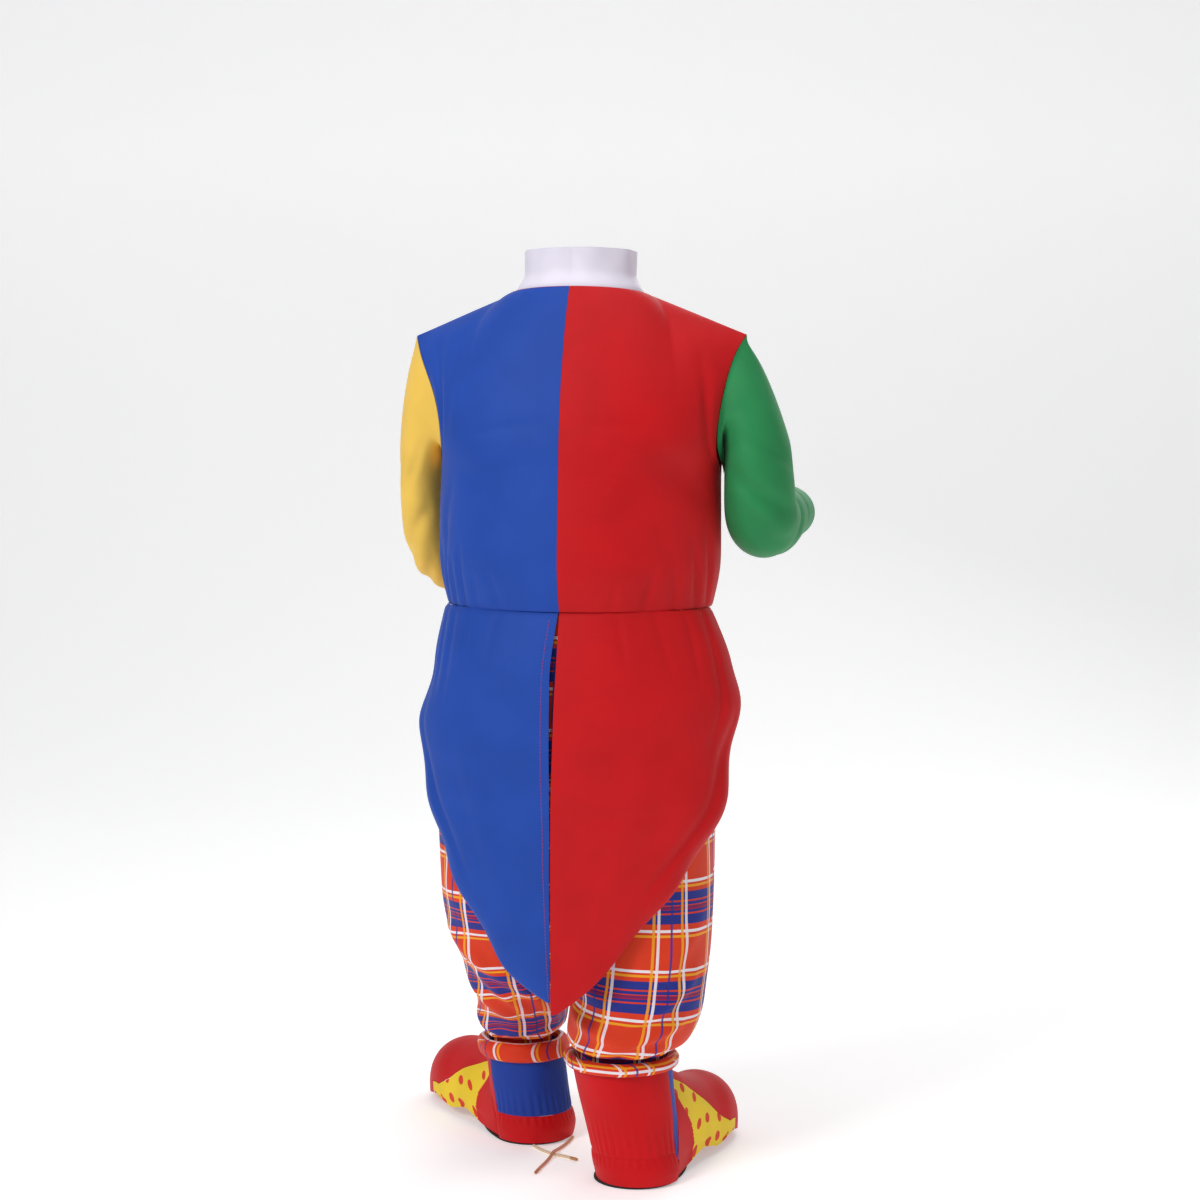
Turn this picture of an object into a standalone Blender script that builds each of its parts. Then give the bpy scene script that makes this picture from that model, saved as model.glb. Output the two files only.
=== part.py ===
"""Child's costume jumpsuit with swallow tails and sewn-on shoe covers, worn pose, hollow.

Front faces -Y, the wearer's left is +X. The origin is the centre of the neck opening,
NECK_HEIGHT above the floor. Heights in the tables are above the floor, in metres.
"""
import bpy
import bmesh
from math import cos, pi, radians, sin, sqrt
from mathutils import Vector

# Driving sizes
NECK_HEIGHT = 1.060
WALL = 0.0020
THIN_WALL = 0.0015
GAP = 0.0003
HALF_GAP = GAP / 2
STEP = 1e-4
SEAM_TURN = 0.003

# Shades of the cloths, sRGB
BLUE = (0.17, 0.33, 0.72)
RED = (0.87, 0.09, 0.13)
YELLOW = (0.98, 0.80, 0.38)
GREEN = (0.20, 0.55, 0.33)
WHITE = (0.94, 0.92, 0.96)
PLAID = (0.86, 0.23, 0.10)
DOTTED = (0.95, 0.81, 0.17)
DARK = (0.05, 0.04, 0.04)
TAN = (0.72, 0.42, 0.25)


def clear_scene():
    for obj in list(bpy.data.objects):
        bpy.data.objects.remove(obj, do_unlink=True)


def linear(channel):
    return channel / 12.92 if channel <= 0.04045 else ((channel + 0.055) / 1.055) ** 2.4


def cloth(name, shade, roughness=0.6):
    """A plain woven cloth of one colour."""
    material = bpy.data.materials.new(name)
    material.use_nodes = True
    shader = material.node_tree.nodes["Principled BSDF"]
    shader.inputs["Base Color"].default_value = (*[linear(c) for c in shade], 1)
    shader.inputs["Roughness"].default_value = roughness
    shader.inputs["Metallic"].default_value = 0
    return material


def mix(a, b, t):
    return a + (b - a) * t


def smooth(edge0, edge1, x):
    t = min(1, max(0, (x - edge0) / (edge1 - edge0)))
    return t * t * (3 - 2 * t)


def spline(rows, t):
    """Values at t, from 0 to 1, on a smooth curve through equally spaced rows of numbers."""
    span = t * (len(rows) - 1)
    i = min(int(span), len(rows) - 2)
    f = span - i
    a = rows[max(i - 1, 0)]
    b = rows[i]
    c = rows[i + 1]
    d = rows[min(i + 2, len(rows) - 1)]
    return [0.5 * (2 * q + (r - p) * f + (2 * p - 5 * q + 4 * r - s) * f * f
                   + (3 * q - p - 3 * r + s) * f ** 3) for p, q, r, s in zip(a, b, c, d)]


def normal(surface, u, v):
    """The unit normal of a surface at (u, v), worked out from points beside it."""
    across = surface(u + STEP, v) - surface(u - STEP, v)
    up = surface(u, v + STEP) - surface(u, v - STEP)
    return across.cross(up).normalized()


def fold_depth(folds, u, v):
    """How far a trough (or a ridge, where negative) sinks the cloth at (u, v).

    A fold runs from (u0, v0) to (u1, v1) and fades at its ends and at the panel's side edges.
    """
    total = 0
    for u0, v0, u1, v1, width, depth in folds:
        du = u1 - u0
        dv = v1 - v0
        along = ((u - u0) * du + (v - v0) * dv) / (du * du + dv * dv)
        near = min(1, max(0, along))
        away = sqrt((u - u0 - near * du) ** 2 + (v - v0 - near * dv) ** 2) / width
        if away < 2.5:
            total += depth * 2.718 ** (-away * away) * (0.35 + 0.65 * sin(pi * near))
    edge = smooth(0, 0.12, u) * smooth(0, 0.12, 1 - u)
    return total * edge


def folded(base, folds, side):
    """The surface base with its folds pressed in. side is the sign of its outward normal."""
    def surface(u, v):
        return base(u, v) - side * fold_depth(folds, u, v) * normal(base, u, v)
    return surface


def wall(name, outer, inner, across, up, material, ring=False):
    """A cloth wall between two surfaces of (u, v), each in 0 to 1, as one closed solid."""
    bm = bmesh.new()
    bmesh.ops.create_grid(bm, x_segments=across, y_segments=up, size=0.5)
    key_u = bm.verts.layers.float.new("u")
    key_v = bm.verts.layers.float.new("v")
    for vert in bm.verts:
        vert[key_u] = vert.co.x + 0.5
        vert[key_v] = vert.co.y + 0.5
        vert.co.z = 0
    if ring:
        for vert in bm.verts:
            turn = 2 * pi * vert[key_u]
            vert.co = ((1 + vert[key_v]) * cos(turn), (1 + vert[key_v]) * sin(turn), 0)
        bmesh.ops.remove_doubles(bm, verts=bm.verts[:], dist=1e-5)
    first = set(bm.verts)
    bmesh.ops.extrude_face_region(bm, geom=bm.faces[:], use_keep_orig=True)
    for vert in bm.verts:
        surface = outer if vert in first else inner
        vert.co = surface(vert[key_u], vert[key_v])
    bmesh.ops.recalc_face_normals(bm, faces=bm.faces[:])
    if bm.calc_volume(signed=True) < 0:
        bmesh.ops.reverse_faces(bm, faces=bm.faces[:])
    mesh = bpy.data.meshes.new(name)
    bm.to_mesh(mesh)
    bm.free()
    mesh.shade_smooth()
    mesh.set_sharp_from_angle(angle=radians(50))
    mesh.materials.append(material)
    obj = bpy.data.objects.new(name, mesh)
    bpy.context.scene.collection.objects.link(obj)
    return obj


def panel(name, surface, across, up, material, side, thickness=WALL, ring=False):
    """A cloth wall whose outer face is the surface and whose inner face lies a wall inside it."""
    def inner(u, v):
        return surface(u, v) - side * thickness * normal(surface, u, v)
    return wall(name, surface, inner, across, up, material, ring)


# Bodice: left and right backs and fronts, joined at the centre, side and shoulder seams
NECK_X = 0.080
NECK_BACK = 0.058
NECK_FRONT = 0.066
NECK_SIDE_HEIGHT = 1.063
NECK_BACK_RISE = 0.008
NECK_FRONT_DROP = 0.030
SHOULDER_X = 0.200
SHOULDER_HEIGHT = 1.015
NECK_SHARE = 5 / 9
ARMPIT_ROW = 3
# How much farther out the right side edge lies, row by row
RIGHT_ARMHOLE_OUT = (0, 0, 0, 0.002, 0.012, 0.012, 0, 0)
BODICE_ACROSS = 9
BODICE_UP = 14

# Centre height, centre depth, side x, side y, side height, share of the shoulder line
BACK_ROWS = (
    (0.694, 0.118, 0.160, 0.000, 0.694, 0.00),
    (0.740, 0.129, 0.169, 0.000, 0.740, 0.00),
    (0.795, 0.127, 0.170, 0.000, 0.795, 0.00),
    (0.850, 0.122, 0.168, 0.000, 0.850, 0.00),
    (0.900, 0.118, 0.159, 0.042, 0.888, 0.00),
    (0.955, 0.109, 0.164, 0.047, 0.935, 0.10),
    (1.015, 0.090, 0.183, 0.036, 0.978, 0.45),
    (1.071, 0.058, 0.200, 0.000, 1.015, 1.00),
)
FRONT_ROWS = (
    (0.694, 0.100, 0.160, 0.000, 0.694, 0.00),
    (0.740, 0.112, 0.169, 0.000, 0.740, 0.00),
    (0.795, 0.110, 0.170, 0.000, 0.795, 0.00),
    (0.850, 0.108, 0.168, 0.000, 0.850, 0.00),
    (0.900, 0.106, 0.156, 0.038, 0.888, 0.00),
    (0.950, 0.100, 0.160, 0.044, 0.935, 0.10),
    (1.000, 0.086, 0.181, 0.034, 0.978, 0.45),
    (1.033, 0.066, 0.200, 0.000, 1.015, 1.00),
)

# Packing creases and soft drag lines: u0, v0, u1, v1, width, depth
BACK_LEFT_FOLDS = (
    (0.10, 0.60, 0.50, 0.58, 0.030, 0.0012),
    (0.88, 0.52, 0.80, 0.80, 0.060, 0.0040),
    (0.30, 0.00, 0.34, 0.16, 0.050, 0.0030),
    (0.62, 0.00, 0.56, 0.20, 0.050, 0.0040),
    (0.84, 0.00, 0.72, 0.24, 0.050, 0.0040),
)
BACK_RIGHT_FOLDS = (
    (0.08, 0.44, 0.40, 0.43, 0.030, 0.0010),
    (0.86, 0.50, 0.70, 0.74, 0.070, 0.0040),
    (0.40, 0.00, 0.44, 0.16, 0.050, 0.0030),
    (0.76, 0.00, 0.66, 0.22, 0.060, 0.0040),
)
FRONT_FOLDS = (
    (0.30, 0.00, 0.36, 0.20, 0.060, 0.0030),
    (0.66, 0.00, 0.60, 0.26, 0.060, 0.0040),
    (0.90, 0.46, 0.70, 0.70, 0.070, 0.0040),
)


def at(x, y, height):
    return Vector((x, y, height - NECK_HEIGHT))


def neck_edge(turn, face):
    """A point of the neckline. turn is 0 at the centre and a quarter circle at the shoulder."""
    if face > 0:
        depth = NECK_BACK
        rise = NECK_BACK_RISE * cos(turn)
    else:
        depth = NECK_FRONT
        rise = -NECK_FRONT_DROP * cos(turn) ** 2
    return Vector((NECK_X * sin(turn), face * depth * cos(turn), NECK_SIDE_HEIGHT + rise))


def right_side(rows):
    """The rows of a right panel: its armhole lies farther out than the left one."""
    return tuple((*row[:2], row[2] + out, *row[3:]) for row, out in zip(rows, RIGHT_ARMHOLE_OUT))


RIGHT_BACK_ROWS = right_side(BACK_ROWS)
RIGHT_FRONT_ROWS = right_side(FRONT_ROWS)


def bodice_base(rows, side, face):
    """One quarter of the bodice. side is +1 on the wearer's left, face is +1 at the back."""
    def surface(u, v):
        centre_height, depth, side_x, side_y, side_height, share = spline(rows, v)
        turn = u * pi / 2
        x = side_x * sin(turn)
        y = mix(side_y, depth, cos(turn))
        height = mix(side_height, centre_height, cos(turn))
        if u < NECK_SHARE:
            top = neck_edge(u / NECK_SHARE * pi / 2, face)
        else:
            tip = Vector((SHOULDER_X, 0, SHOULDER_HEIGHT))
            top = neck_edge(pi / 2, face).lerp(tip, (u - NECK_SHARE) / (1 - NECK_SHARE))
        x = mix(x, top.x, share)
        y = mix(y, face * top.y, share)
        height = mix(height, top.z, share)
        return at(side * (x + HALF_GAP), face * (y + HALF_GAP), height)
    return surface


def bodice_panel(name, rows, folds, side, face, material):
    out = side * face
    base = bodice_base(rows, side, face)
    outer = folded(base, folds, -out)

    def kept(point):
        point.x = side * max(side * point.x, HALF_GAP)
        point.y = face * max(face * point.y, HALF_GAP)
        return point

    def outside(u, v):
        return kept(outer(u, v))

    def inside(u, v):
        return kept(outer(u, v) + out * WALL * normal(base, u, v))
    wall(name, outside, inside, BODICE_ACROSS, BODICE_UP, material)


# Sleeves: each one tube from its armhole round the bent elbow to the hem
# Centre x, y and height, half width, half depth across the bend
LEFT_ARM = (
    (0.182, 0.000, 0.935, 0.030, 0.045),
    (0.199, -0.018, 0.915, 0.029, 0.054),
    (0.202, -0.040, 0.865, 0.030, 0.055),
    (0.203, -0.050, 0.815, 0.030, 0.052),
    (0.199, -0.066, 0.766, 0.032, 0.048),
    (0.181, -0.104, 0.742, 0.036, 0.045),
    (0.148, -0.150, 0.742, 0.038, 0.043),
    (0.108, -0.192, 0.748, 0.036, 0.040),
    (0.072, -0.220, 0.752, 0.036, 0.038),
)
RIGHT_ARM = (
    (0.186, 0.000, 0.935, 0.030, 0.045),
    (0.205, -0.004, 0.925, 0.034, 0.054),
    (0.214, 0.000, 0.885, 0.038, 0.054),
    (0.216, 0.000, 0.845, 0.041, 0.052),
    (0.217, -0.012, 0.806, 0.043, 0.050),
    (0.218, -0.055, 0.793, 0.043, 0.044),
    (0.219, -0.100, 0.795, 0.042, 0.040),
    (0.220, -0.145, 0.797, 0.040, 0.036),
    (0.221, -0.190, 0.797, 0.039, 0.034),
)
SLEEVE_CAP = 0.26
ARMPIT_EASE = 0.003
SLEEVE_AROUND = 16
SLEEVE_UP = 18

LEFT_SLEEVE_FOLDS = (
    (0.20, 0.40, 0.45, 0.52, 0.050, 0.0060),
    (0.30, 0.60, 0.70, 0.50, 0.050, 0.0060),
    (0.55, 0.28, 0.80, 0.42, 0.060, 0.0050),
    (0.60, 0.70, 0.85, 0.62, 0.050, 0.0050),
)
RIGHT_SLEEVE_FOLDS = (
    (0.15, 0.36, 0.45, 0.46, 0.050, 0.0060),
    (0.22, 0.24, 0.48, 0.33, 0.050, 0.0050),
    (0.55, 0.45, 0.85, 0.52, 0.050, 0.0070),
    (0.60, 0.66, 0.85, 0.58, 0.050, 0.0050),
)


def armhole_point(side, u):
    """The edge of the armhole: up the back from the armpit, over the shoulder, down the front."""
    start = ARMPIT_ROW / (len(BACK_ROWS) - 1)
    back, front = (BACK_ROWS, FRONT_ROWS) if side > 0 else (RIGHT_BACK_ROWS, RIGHT_FRONT_ROWS)
    if u < 0.5:
        return bodice_base(back, side, 1)(1, mix(start, 1, 2 * u))
    return bodice_base(front, side, -1)(1, mix(1, start, 2 * u - 1))


def sleeve_ring(side, rows, u, v, inset):
    x, y, height, half_width, half_depth = spline(rows, v)
    before = Vector(spline(rows, v - 0.01)[:3])
    after = Vector(spline(rows, v + 0.01)[:3])
    before.x *= side
    after.x *= side
    along = (after - before).normalized()
    across = (Vector((1, 0, 0)) - along.x * along).normalized()
    back = across.cross(along)
    turn = 2 * pi * u
    return (at(side * x, y, height) - side * across * (half_width - inset) * cos(turn)
            + back * (half_depth - inset) * sin(turn))


def sleeve_surface(side, rows, folds, inset):
    """A sleeve's outer face, or its inner face where inset is the wall."""
    centre = at(side * SHOULDER_X, 0, 0.93)

    def surface(u, v):
        u = u % 1
        under = max(0, cos(2 * pi * u)) ** 4
        edge = armhole_point(side, u) + Vector((side * (2 * GAP + ARMPIT_EASE * under), 0, 0))
        toward = Vector((0, centre.y - edge.y, centre.z - edge.z)).normalized()
        edge += inset * toward
        sink = fold_depth(folds, u, v)
        ring = sleeve_ring(side, rows, u, v, inset + sink)
        return edge.lerp(ring, smooth(0, SLEEVE_CAP, v))
    return surface


def sleeve(name, side, rows, folds, material):
    outer = sleeve_surface(side, rows, folds, 0)
    inner = sleeve_surface(side, rows, folds, WALL)
    wall(name, outer, inner, SLEEVE_AROUND, SLEEVE_UP, material, ring=True)


# Stand collar: one strip whose ends lap at the centre back
COLLAR_HEIGHT = 0.050
COLLAR_LAP = radians(14)
COLLAR_LEAN = 0.010
COLLAR_SEAT = 0.0016
COLLAR_DROP = 0.0012
COLLAR_GRID = (32, 3)


def collar_surface(inset):
    def surface(u, v):
        turn = COLLAR_LAP - (2 * pi + COLLAR_LAP) * u
        face = 1 if cos(turn) > 0 else -1
        edge = neck_edge(abs(turn), face)
        edge.x = -NECK_X * sin(turn)
        edge.y = (NECK_BACK if face > 0 else NECK_FRONT) * cos(turn)
        outward = Vector((edge.x, edge.y, 0)).normalized()
        lean = COLLAR_LEAN * smooth(0, 0.45, v)
        lap = (THIN_WALL + 3 * GAP) * (1 - u)
        reach = COLLAR_SEAT + lean + lap + inset
        base = edge.z - COLLAR_DROP
        top = mix(base, NECK_SIDE_HEIGHT + COLLAR_HEIGHT + 0.004 * cos(turn), v)
        return at(edge.x, edge.y, top) - outward * reach
    return surface


# Swallow tails, hanging from the waist seam over the seat
# Height, centre edge x, outer edge x, outer edge y, centre edge y
LEFT_TAIL = (
    (0.6935, 0.0012, 0.162, 0.012, 0.118),
    (0.635, 0.0080, 0.172, 0.020, 0.129),
    (0.585, 0.0088, 0.183, 0.024, 0.133),
    (0.540, 0.0090, 0.190, 0.028, 0.134),
    (0.485, 0.0090, 0.179, 0.045, 0.133),
    (0.435, 0.0090, 0.160, 0.069, 0.131),
    (0.390, 0.0100, 0.141, 0.086, 0.129),
    (0.340, 0.0100, 0.112, 0.098, 0.127),
    (0.290, 0.0100, 0.081, 0.104, 0.126),
    (0.255, 0.0100, 0.049, 0.112, 0.125),
    (0.236, 0.0100, 0.017, 0.118, 0.124),
)
RIGHT_TAIL = (
    (0.6935, 0.0003, 0.162, 0.012, 0.118),
    (0.635, -0.0010, 0.186, 0.020, 0.129),
    (0.590, -0.0030, 0.199, 0.026, 0.133),
    (0.535, -0.0050, 0.190, 0.036, 0.134),
    (0.475, -0.0070, 0.188, 0.050, 0.133),
    (0.425, -0.0080, 0.166, 0.064, 0.131),
    (0.385, -0.0085, 0.142, 0.080, 0.130),
    (0.345, -0.0085, 0.114, 0.094, 0.129),
    (0.300, -0.0085, 0.076, 0.107, 0.128),
    (0.250, -0.0085, 0.034, 0.118, 0.127),
    (0.222, -0.0085, -0.002, 0.124, 0.126),
)
LEFT_TAIL_FOLDS = (
    (0.30, 0.00, 0.36, 0.22, 0.060, 0.0030),
    (0.66, 0.00, 0.60, 0.40, 0.070, 0.0040),
    (0.86, 0.14, 0.62, 0.55, 0.060, 0.0050),
)
RIGHT_TAIL_FOLDS = (
    (0.42, 0.00, 0.46, 0.26, 0.060, 0.0030),
    (0.80, 0.05, 0.66, 0.45, 0.070, 0.0050),
    (0.90, 0.30, 0.60, 0.62, 0.060, 0.0050),
)
EDGE_WAVE = 0.0022
EDGE_WAVES = 5
TAIL_GRID = (9, 14)


def tail_base(side, rows):
    def surface(u, v):
        height, centre_x, outer_x, outer_y, centre_y = spline(rows, v)
        turn = u * pi / 2
        edge = smooth(0.5, 1, u) * smooth(0, 0.15, v) * smooth(0, 0.2, 1 - v)
        ripple = EDGE_WAVE * edge * sin(2 * pi * EDGE_WAVES * v)
        x = mix(centre_x, outer_x, sin(turn)) + ripple
        y = mix(outer_y, centre_y, cos(turn)) + ripple
        return at(side * x, y, height - 3 * GAP * (1 - v))
    return surface


# Shoe covers: heel centre x and y, heel radius, turn-out, rim centre x and y, rim radius,
# rim height, height of the instep's top edge
LEFT_SHOE = (0.090, -0.129, 0.049, radians(40), 0.103, -0.132, 0.048, 0.126, 0.100)
RIGHT_SHOE = (0.072, 0.017, 0.052, radians(14), 0.052, 0.010, 0.060, 0.150, 0.128)
SOLE = 0.003
HEEL_TOP = 0.037
SOLE_FRONT = 0.11

# Forefoot: distance ahead at the side, extra at the top, half width, top height, edge height
FOREFOOT = (
    (0.000, 0.0510, 0.0510, 0.116, 0.005),
    (0.042, 0.0440, 0.0500, 0.103, 0.008),
    (0.087, 0.0350, 0.0520, 0.093, 0.018),
    (0.130, 0.0260, 0.0540, 0.088, 0.010),
    (0.172, 0.0200, 0.0540, 0.084, 0.016),
    (0.207, 0.0160, 0.0470, 0.070, 0.010),
    (0.234, 0.0110, 0.0310, 0.046, 0.006),
    (0.248, 0.0030, 0.0080, 0.020, 0.004),
)
SIDE_PANEL_END = 0.8
SIDE_PANEL_LEAST = 0.08
FOREFOOT_UP = 15
FRONT_CLEAR = 0.0016
SHAFT_GRID = (12, 3)
HEEL_GRID = (12, 2)
SIDE_PANEL_TURN = radians(80)


def rim_row(shoe):
    """The last row of a trouser leg, which meets the top edge of its shoe cover."""
    x, y, radius, rim = shoe[4:8]
    return (rim + GAP, x + radius, y, x - radius, y + radius, y - radius, 180)


# Trouser legs, a back and a front panel each
LEG_ACROSS = 8
LEG_UP = 18
CROTCH_HEIGHT = 0.40
# Height, outer x, outer y, inner x, back y, front y, turn from the side seam to the inner edge
LEFT_LEG = (
    (0.6928, 0.157, 0.000, 0.0000, 0.1135, -0.100, 90),
    (0.640, 0.167, 0.000, 0.0000, 0.1180, -0.106, 90),
    (0.580, 0.172, 0.000, 0.0000, 0.1190, -0.110, 90),
    (0.520, 0.173, 0.000, 0.0000, 0.1180, -0.110, 96),
    (0.470, 0.173, -0.002, 0.0000, 0.1120, -0.108, 135),
    (0.430, 0.172, -0.004, 0.0000, 0.1040, -0.108, 180),
    (0.380, 0.172, -0.010, 0.0060, 0.0920, -0.112, 180),
    (0.330, 0.172, -0.022, 0.0120, 0.0780, -0.122, 180),
    (0.285, 0.168, -0.045, 0.0200, 0.0550, -0.145, 180),
    (0.240, 0.156, -0.075, 0.0300, 0.0250, -0.170, 180),
    (0.195, 0.151, -0.105, 0.0380, -0.0150, -0.190, 180),
    (0.155, 0.156, -0.125, 0.0460, -0.0600, -0.192, 180),
    rim_row(LEFT_SHOE),
)
RIGHT_LEG = (
    (0.6928, 0.157, 0.000, 0.0000, 0.1135, -0.100, 90),
    (0.640, 0.167, 0.000, 0.0000, 0.1180, -0.106, 90),
    (0.580, 0.171, 0.000, 0.0000, 0.1190, -0.110, 90),
    (0.520, 0.169, 0.000, 0.0000, 0.1180, -0.110, 96),
    (0.470, 0.166, 0.000, 0.0000, 0.1120, -0.106, 135),
    (0.430, 0.163, 0.000, 0.0000, 0.1040, -0.100, 180),
    (0.380, 0.162, 0.000, 0.0020, 0.0960, -0.094, 180),
    (0.330, 0.161, 0.002, 0.0010, 0.0920, -0.088, 180),
    (0.285, 0.159, 0.004, -0.0010, 0.0900, -0.080, 180),
    (0.240, 0.154, 0.006, -0.0040, 0.0880, -0.074, 180),
    (0.205, 0.149, 0.008, -0.0090, 0.0880, -0.070, 180),
    (0.175, 0.136, 0.010, -0.0120, 0.0840, -0.064, 180),
    rim_row(RIGHT_SHOE),
)
LEFT_LEG_FOLDS = (
    (0.20, 0.66, 0.62, 0.80, 0.045, 0.0090),
    (0.15, 0.80, 0.55, 0.88, 0.040, 0.0080),
    (0.50, 0.72, 0.85, 0.92, 0.045, 0.0080),
    (0.30, 0.94, 0.70, 0.91, 0.035, 0.0060),
)
RIGHT_LEG_FOLDS = (
    (0.20, 0.74, 0.50, 0.86, 0.045, 0.0070),
    (0.45, 0.90, 0.80, 0.84, 0.040, 0.0070),
    (0.25, 0.93, 0.45, 0.96, 0.035, 0.0050),
    (0.60, 0.60, 0.80, 0.76, 0.050, 0.0060),
)
FRONT_LEG_FOLDS = (
    (0.20, 0.70, 0.60, 0.80, 0.045, 0.0070),
    (0.40, 0.90, 0.80, 0.84, 0.045, 0.0070),
    (0.60, 0.36, 0.90, 0.30, 0.045, 0.0060),
)


def leg_base(side, rows, face):
    def surface(u, v):
        height, outer_x, outer_y, inner_x, back_y, front_y, turn = spline(rows, v)
        turn = radians(min(turn, 180))
        if height > CROTCH_HEIGHT:
            inner_x = max(inner_x, 0)
        reach_y = back_y if face > 0 else front_y
        half = (outer_x - inner_x) / (1 - cos(turn))
        angle = u * turn
        x = outer_x - half + half * cos(angle) + HALF_GAP
        y = outer_y + (reach_y - outer_y) * sin(angle) + face * HALF_GAP
        return at(side * x, y, height)
    return surface


def leg_panel(name, side, rows, folds, face, rim, material):
    base = leg_base(side, rows, face)
    out = side * face
    outer = folded(base, folds, out)

    def kept(point, v):
        height, _, outer_y, inner_x = spline(rows, v)[:4]
        if height > CROTCH_HEIGHT:
            inner_x = max(inner_x, 0)
        point.x = side * max(side * point.x, inner_x + HALF_GAP)
        point.y = outer_y + face * max(face * (point.y - outer_y), HALF_GAP)
        point.z = max(point.z, rim + GAP - NECK_HEIGHT)
        return point

    def outside(u, v):
        return kept(outer(u, v), v)

    def inside(u, v):
        return kept(outer(u, v) - out * WALL * normal(base, u, v), v)
    wall(name, outside, inside, LEG_ACROSS, LEG_UP, material)


# Hem rolls: distance out from the rim and share of the roll's depth, from hem to fold
ROLL_PROFILE = ((0.005, -1.00), (0.010, -0.72), (0.011, -0.38), (0.0085, -0.10), (0.0030, -0.06))
LEFT_ROLL = 0.021
RIGHT_ROLL = 0.013
ROLL_GRID = (24, 5)


def roll_surface(side, shoe, depth):
    rim = shoe[7]

    def surface(u, v):
        out, drop = spline(ROLL_PROFILE, v)
        return shaft_point(side, shoe, -2 * pi * u, rim + depth * drop, out)
    return surface


def foot_point(side, shoe, ahead, outward, height):
    """A point from distances ahead of the heel's centre and outward from it."""
    x, y, _, turn_out = shoe[:4]
    return at(side * (x + ahead * sin(turn_out) + outward * cos(turn_out)),
              y - ahead * cos(turn_out) + outward * sin(turn_out), height)


def shaft_point(side, shoe, turn, height, swell=0):
    """A point of the shaft. turn is 0 at its outer side and a quarter circle ahead."""
    heel_x, heel_y, heel_radius, turn_out, rim_x, rim_y, rim_radius, rim = shoe[:8]
    share = (height - HEEL_TOP) / (rim - HEEL_TOP)
    share = max(-0.2, share)
    radius = mix(heel_radius, rim_radius, share) + swell
    x = mix(heel_x, rim_x, share)
    y = mix(heel_y, rim_y, share)
    angle = turn_out - turn
    return at(side * (x + radius * cos(angle)), y + radius * sin(angle), height)


def shaft_back(side, shoe):
    rim = shoe[7]

    def surface(u, v):
        turn = mix(-SEAM_TURN, SEAM_TURN - pi, u)
        return shaft_point(side, shoe, turn, mix(HEEL_TOP + GAP, rim, v))
    return surface


def front_edge(shoe, turn):
    """Height at which the forefoot meets the shaft."""
    return mix(FOREFOOT[0][4], shoe[8], max(0, sin(turn)) ** 0.8)


def shaft_front(side, shoe):
    rim = shoe[7]

    def surface(u, v):
        turn = mix(SEAM_TURN, pi - SEAM_TURN, u)
        start = front_edge(shoe, turn) + FRONT_CLEAR
        return shaft_point(side, shoe, turn, mix(start, rim, v))
    return surface


def heel_band(side, shoe):
    def surface(u, v):
        turn = mix(-SEAM_TURN, SEAM_TURN - pi, u)
        swell = 0.003 * sin(pi * min(1, max(0, v)))
        return shaft_point(side, shoe, turn, mix(SOLE + GAP, HEEL_TOP, v), swell)
    return surface


def forefoot(side, shoe):
    """The forefoot, by the angle over the foot and the share of its length ahead."""
    def surface(turn, v):
        ahead, bulge, half_width, top, edge = spline(FOREFOOT, v)
        top += (shoe[8] - FOREFOOT[0][3]) * (1 - smooth(0, 0.5, v))
        rise = mix(edge, top, max(0, sin(turn)) ** 0.8)
        ahead += bulge * sin(turn)
        free = foot_point(side, shoe, ahead, half_width * cos(turn), rise)
        seated = shaft_point(side, shoe, turn, rise, FRONT_CLEAR / 2)
        return seated.lerp(free, smooth(0, 0.16, v))
    return surface


def panel_turn(v):
    """Angle at which the dotted side panel meets the toe piece."""
    if v > SIDE_PANEL_END + STEP * 2:
        return 0
    share = max(0, v) / SIDE_PANEL_END
    return SIDE_PANEL_TURN * max(SIDE_PANEL_LEAST, sqrt(max(0, 1 - share * share)))


def toe_piece(side, shoe):
    form = forefoot(side, shoe)

    def surface(u, v):
        start = panel_turn(v) + 2 * SEAM_TURN
        return form(mix(start, pi - start, u), v)
    return surface


def side_panel(side, shoe, inner_side):
    form = forefoot(side, shoe)

    def surface(u, v):
        along = v * SIDE_PANEL_END
        turn = mix(SEAM_TURN, panel_turn(along) - 2 * SEAM_TURN, u)
        return form(pi - turn if inner_side else turn, along)
    return surface


def sole(name, side, shoe, material):
    """The thin heel sole, round behind and drawn out under the instep."""
    bm = bmesh.new()
    bmesh.ops.create_circle(bm, cap_ends=True, segments=28, radius=1)
    heel = shoe[2] + 0.0035
    for vert in bm.verts:
        ahead = vert.co.y * (heel if vert.co.y < 0 else SOLE_FRONT)
        outward = vert.co.x * heel
        vert.co = foot_point(side, shoe, ahead, outward, 0)
    raised = bmesh.ops.extrude_face_region(bm, geom=bm.faces[:], use_keep_orig=True)
    for item in raised["geom"]:
        if isinstance(item, bmesh.types.BMVert):
            item.co.z += SOLE
    bmesh.ops.recalc_face_normals(bm, faces=bm.faces[:])
    mesh = bpy.data.meshes.new(name)
    bm.to_mesh(mesh)
    bm.free()
    mesh.materials.append(material)
    obj = bpy.data.objects.new(name, mesh)
    bpy.context.scene.collection.objects.link(obj)


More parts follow.
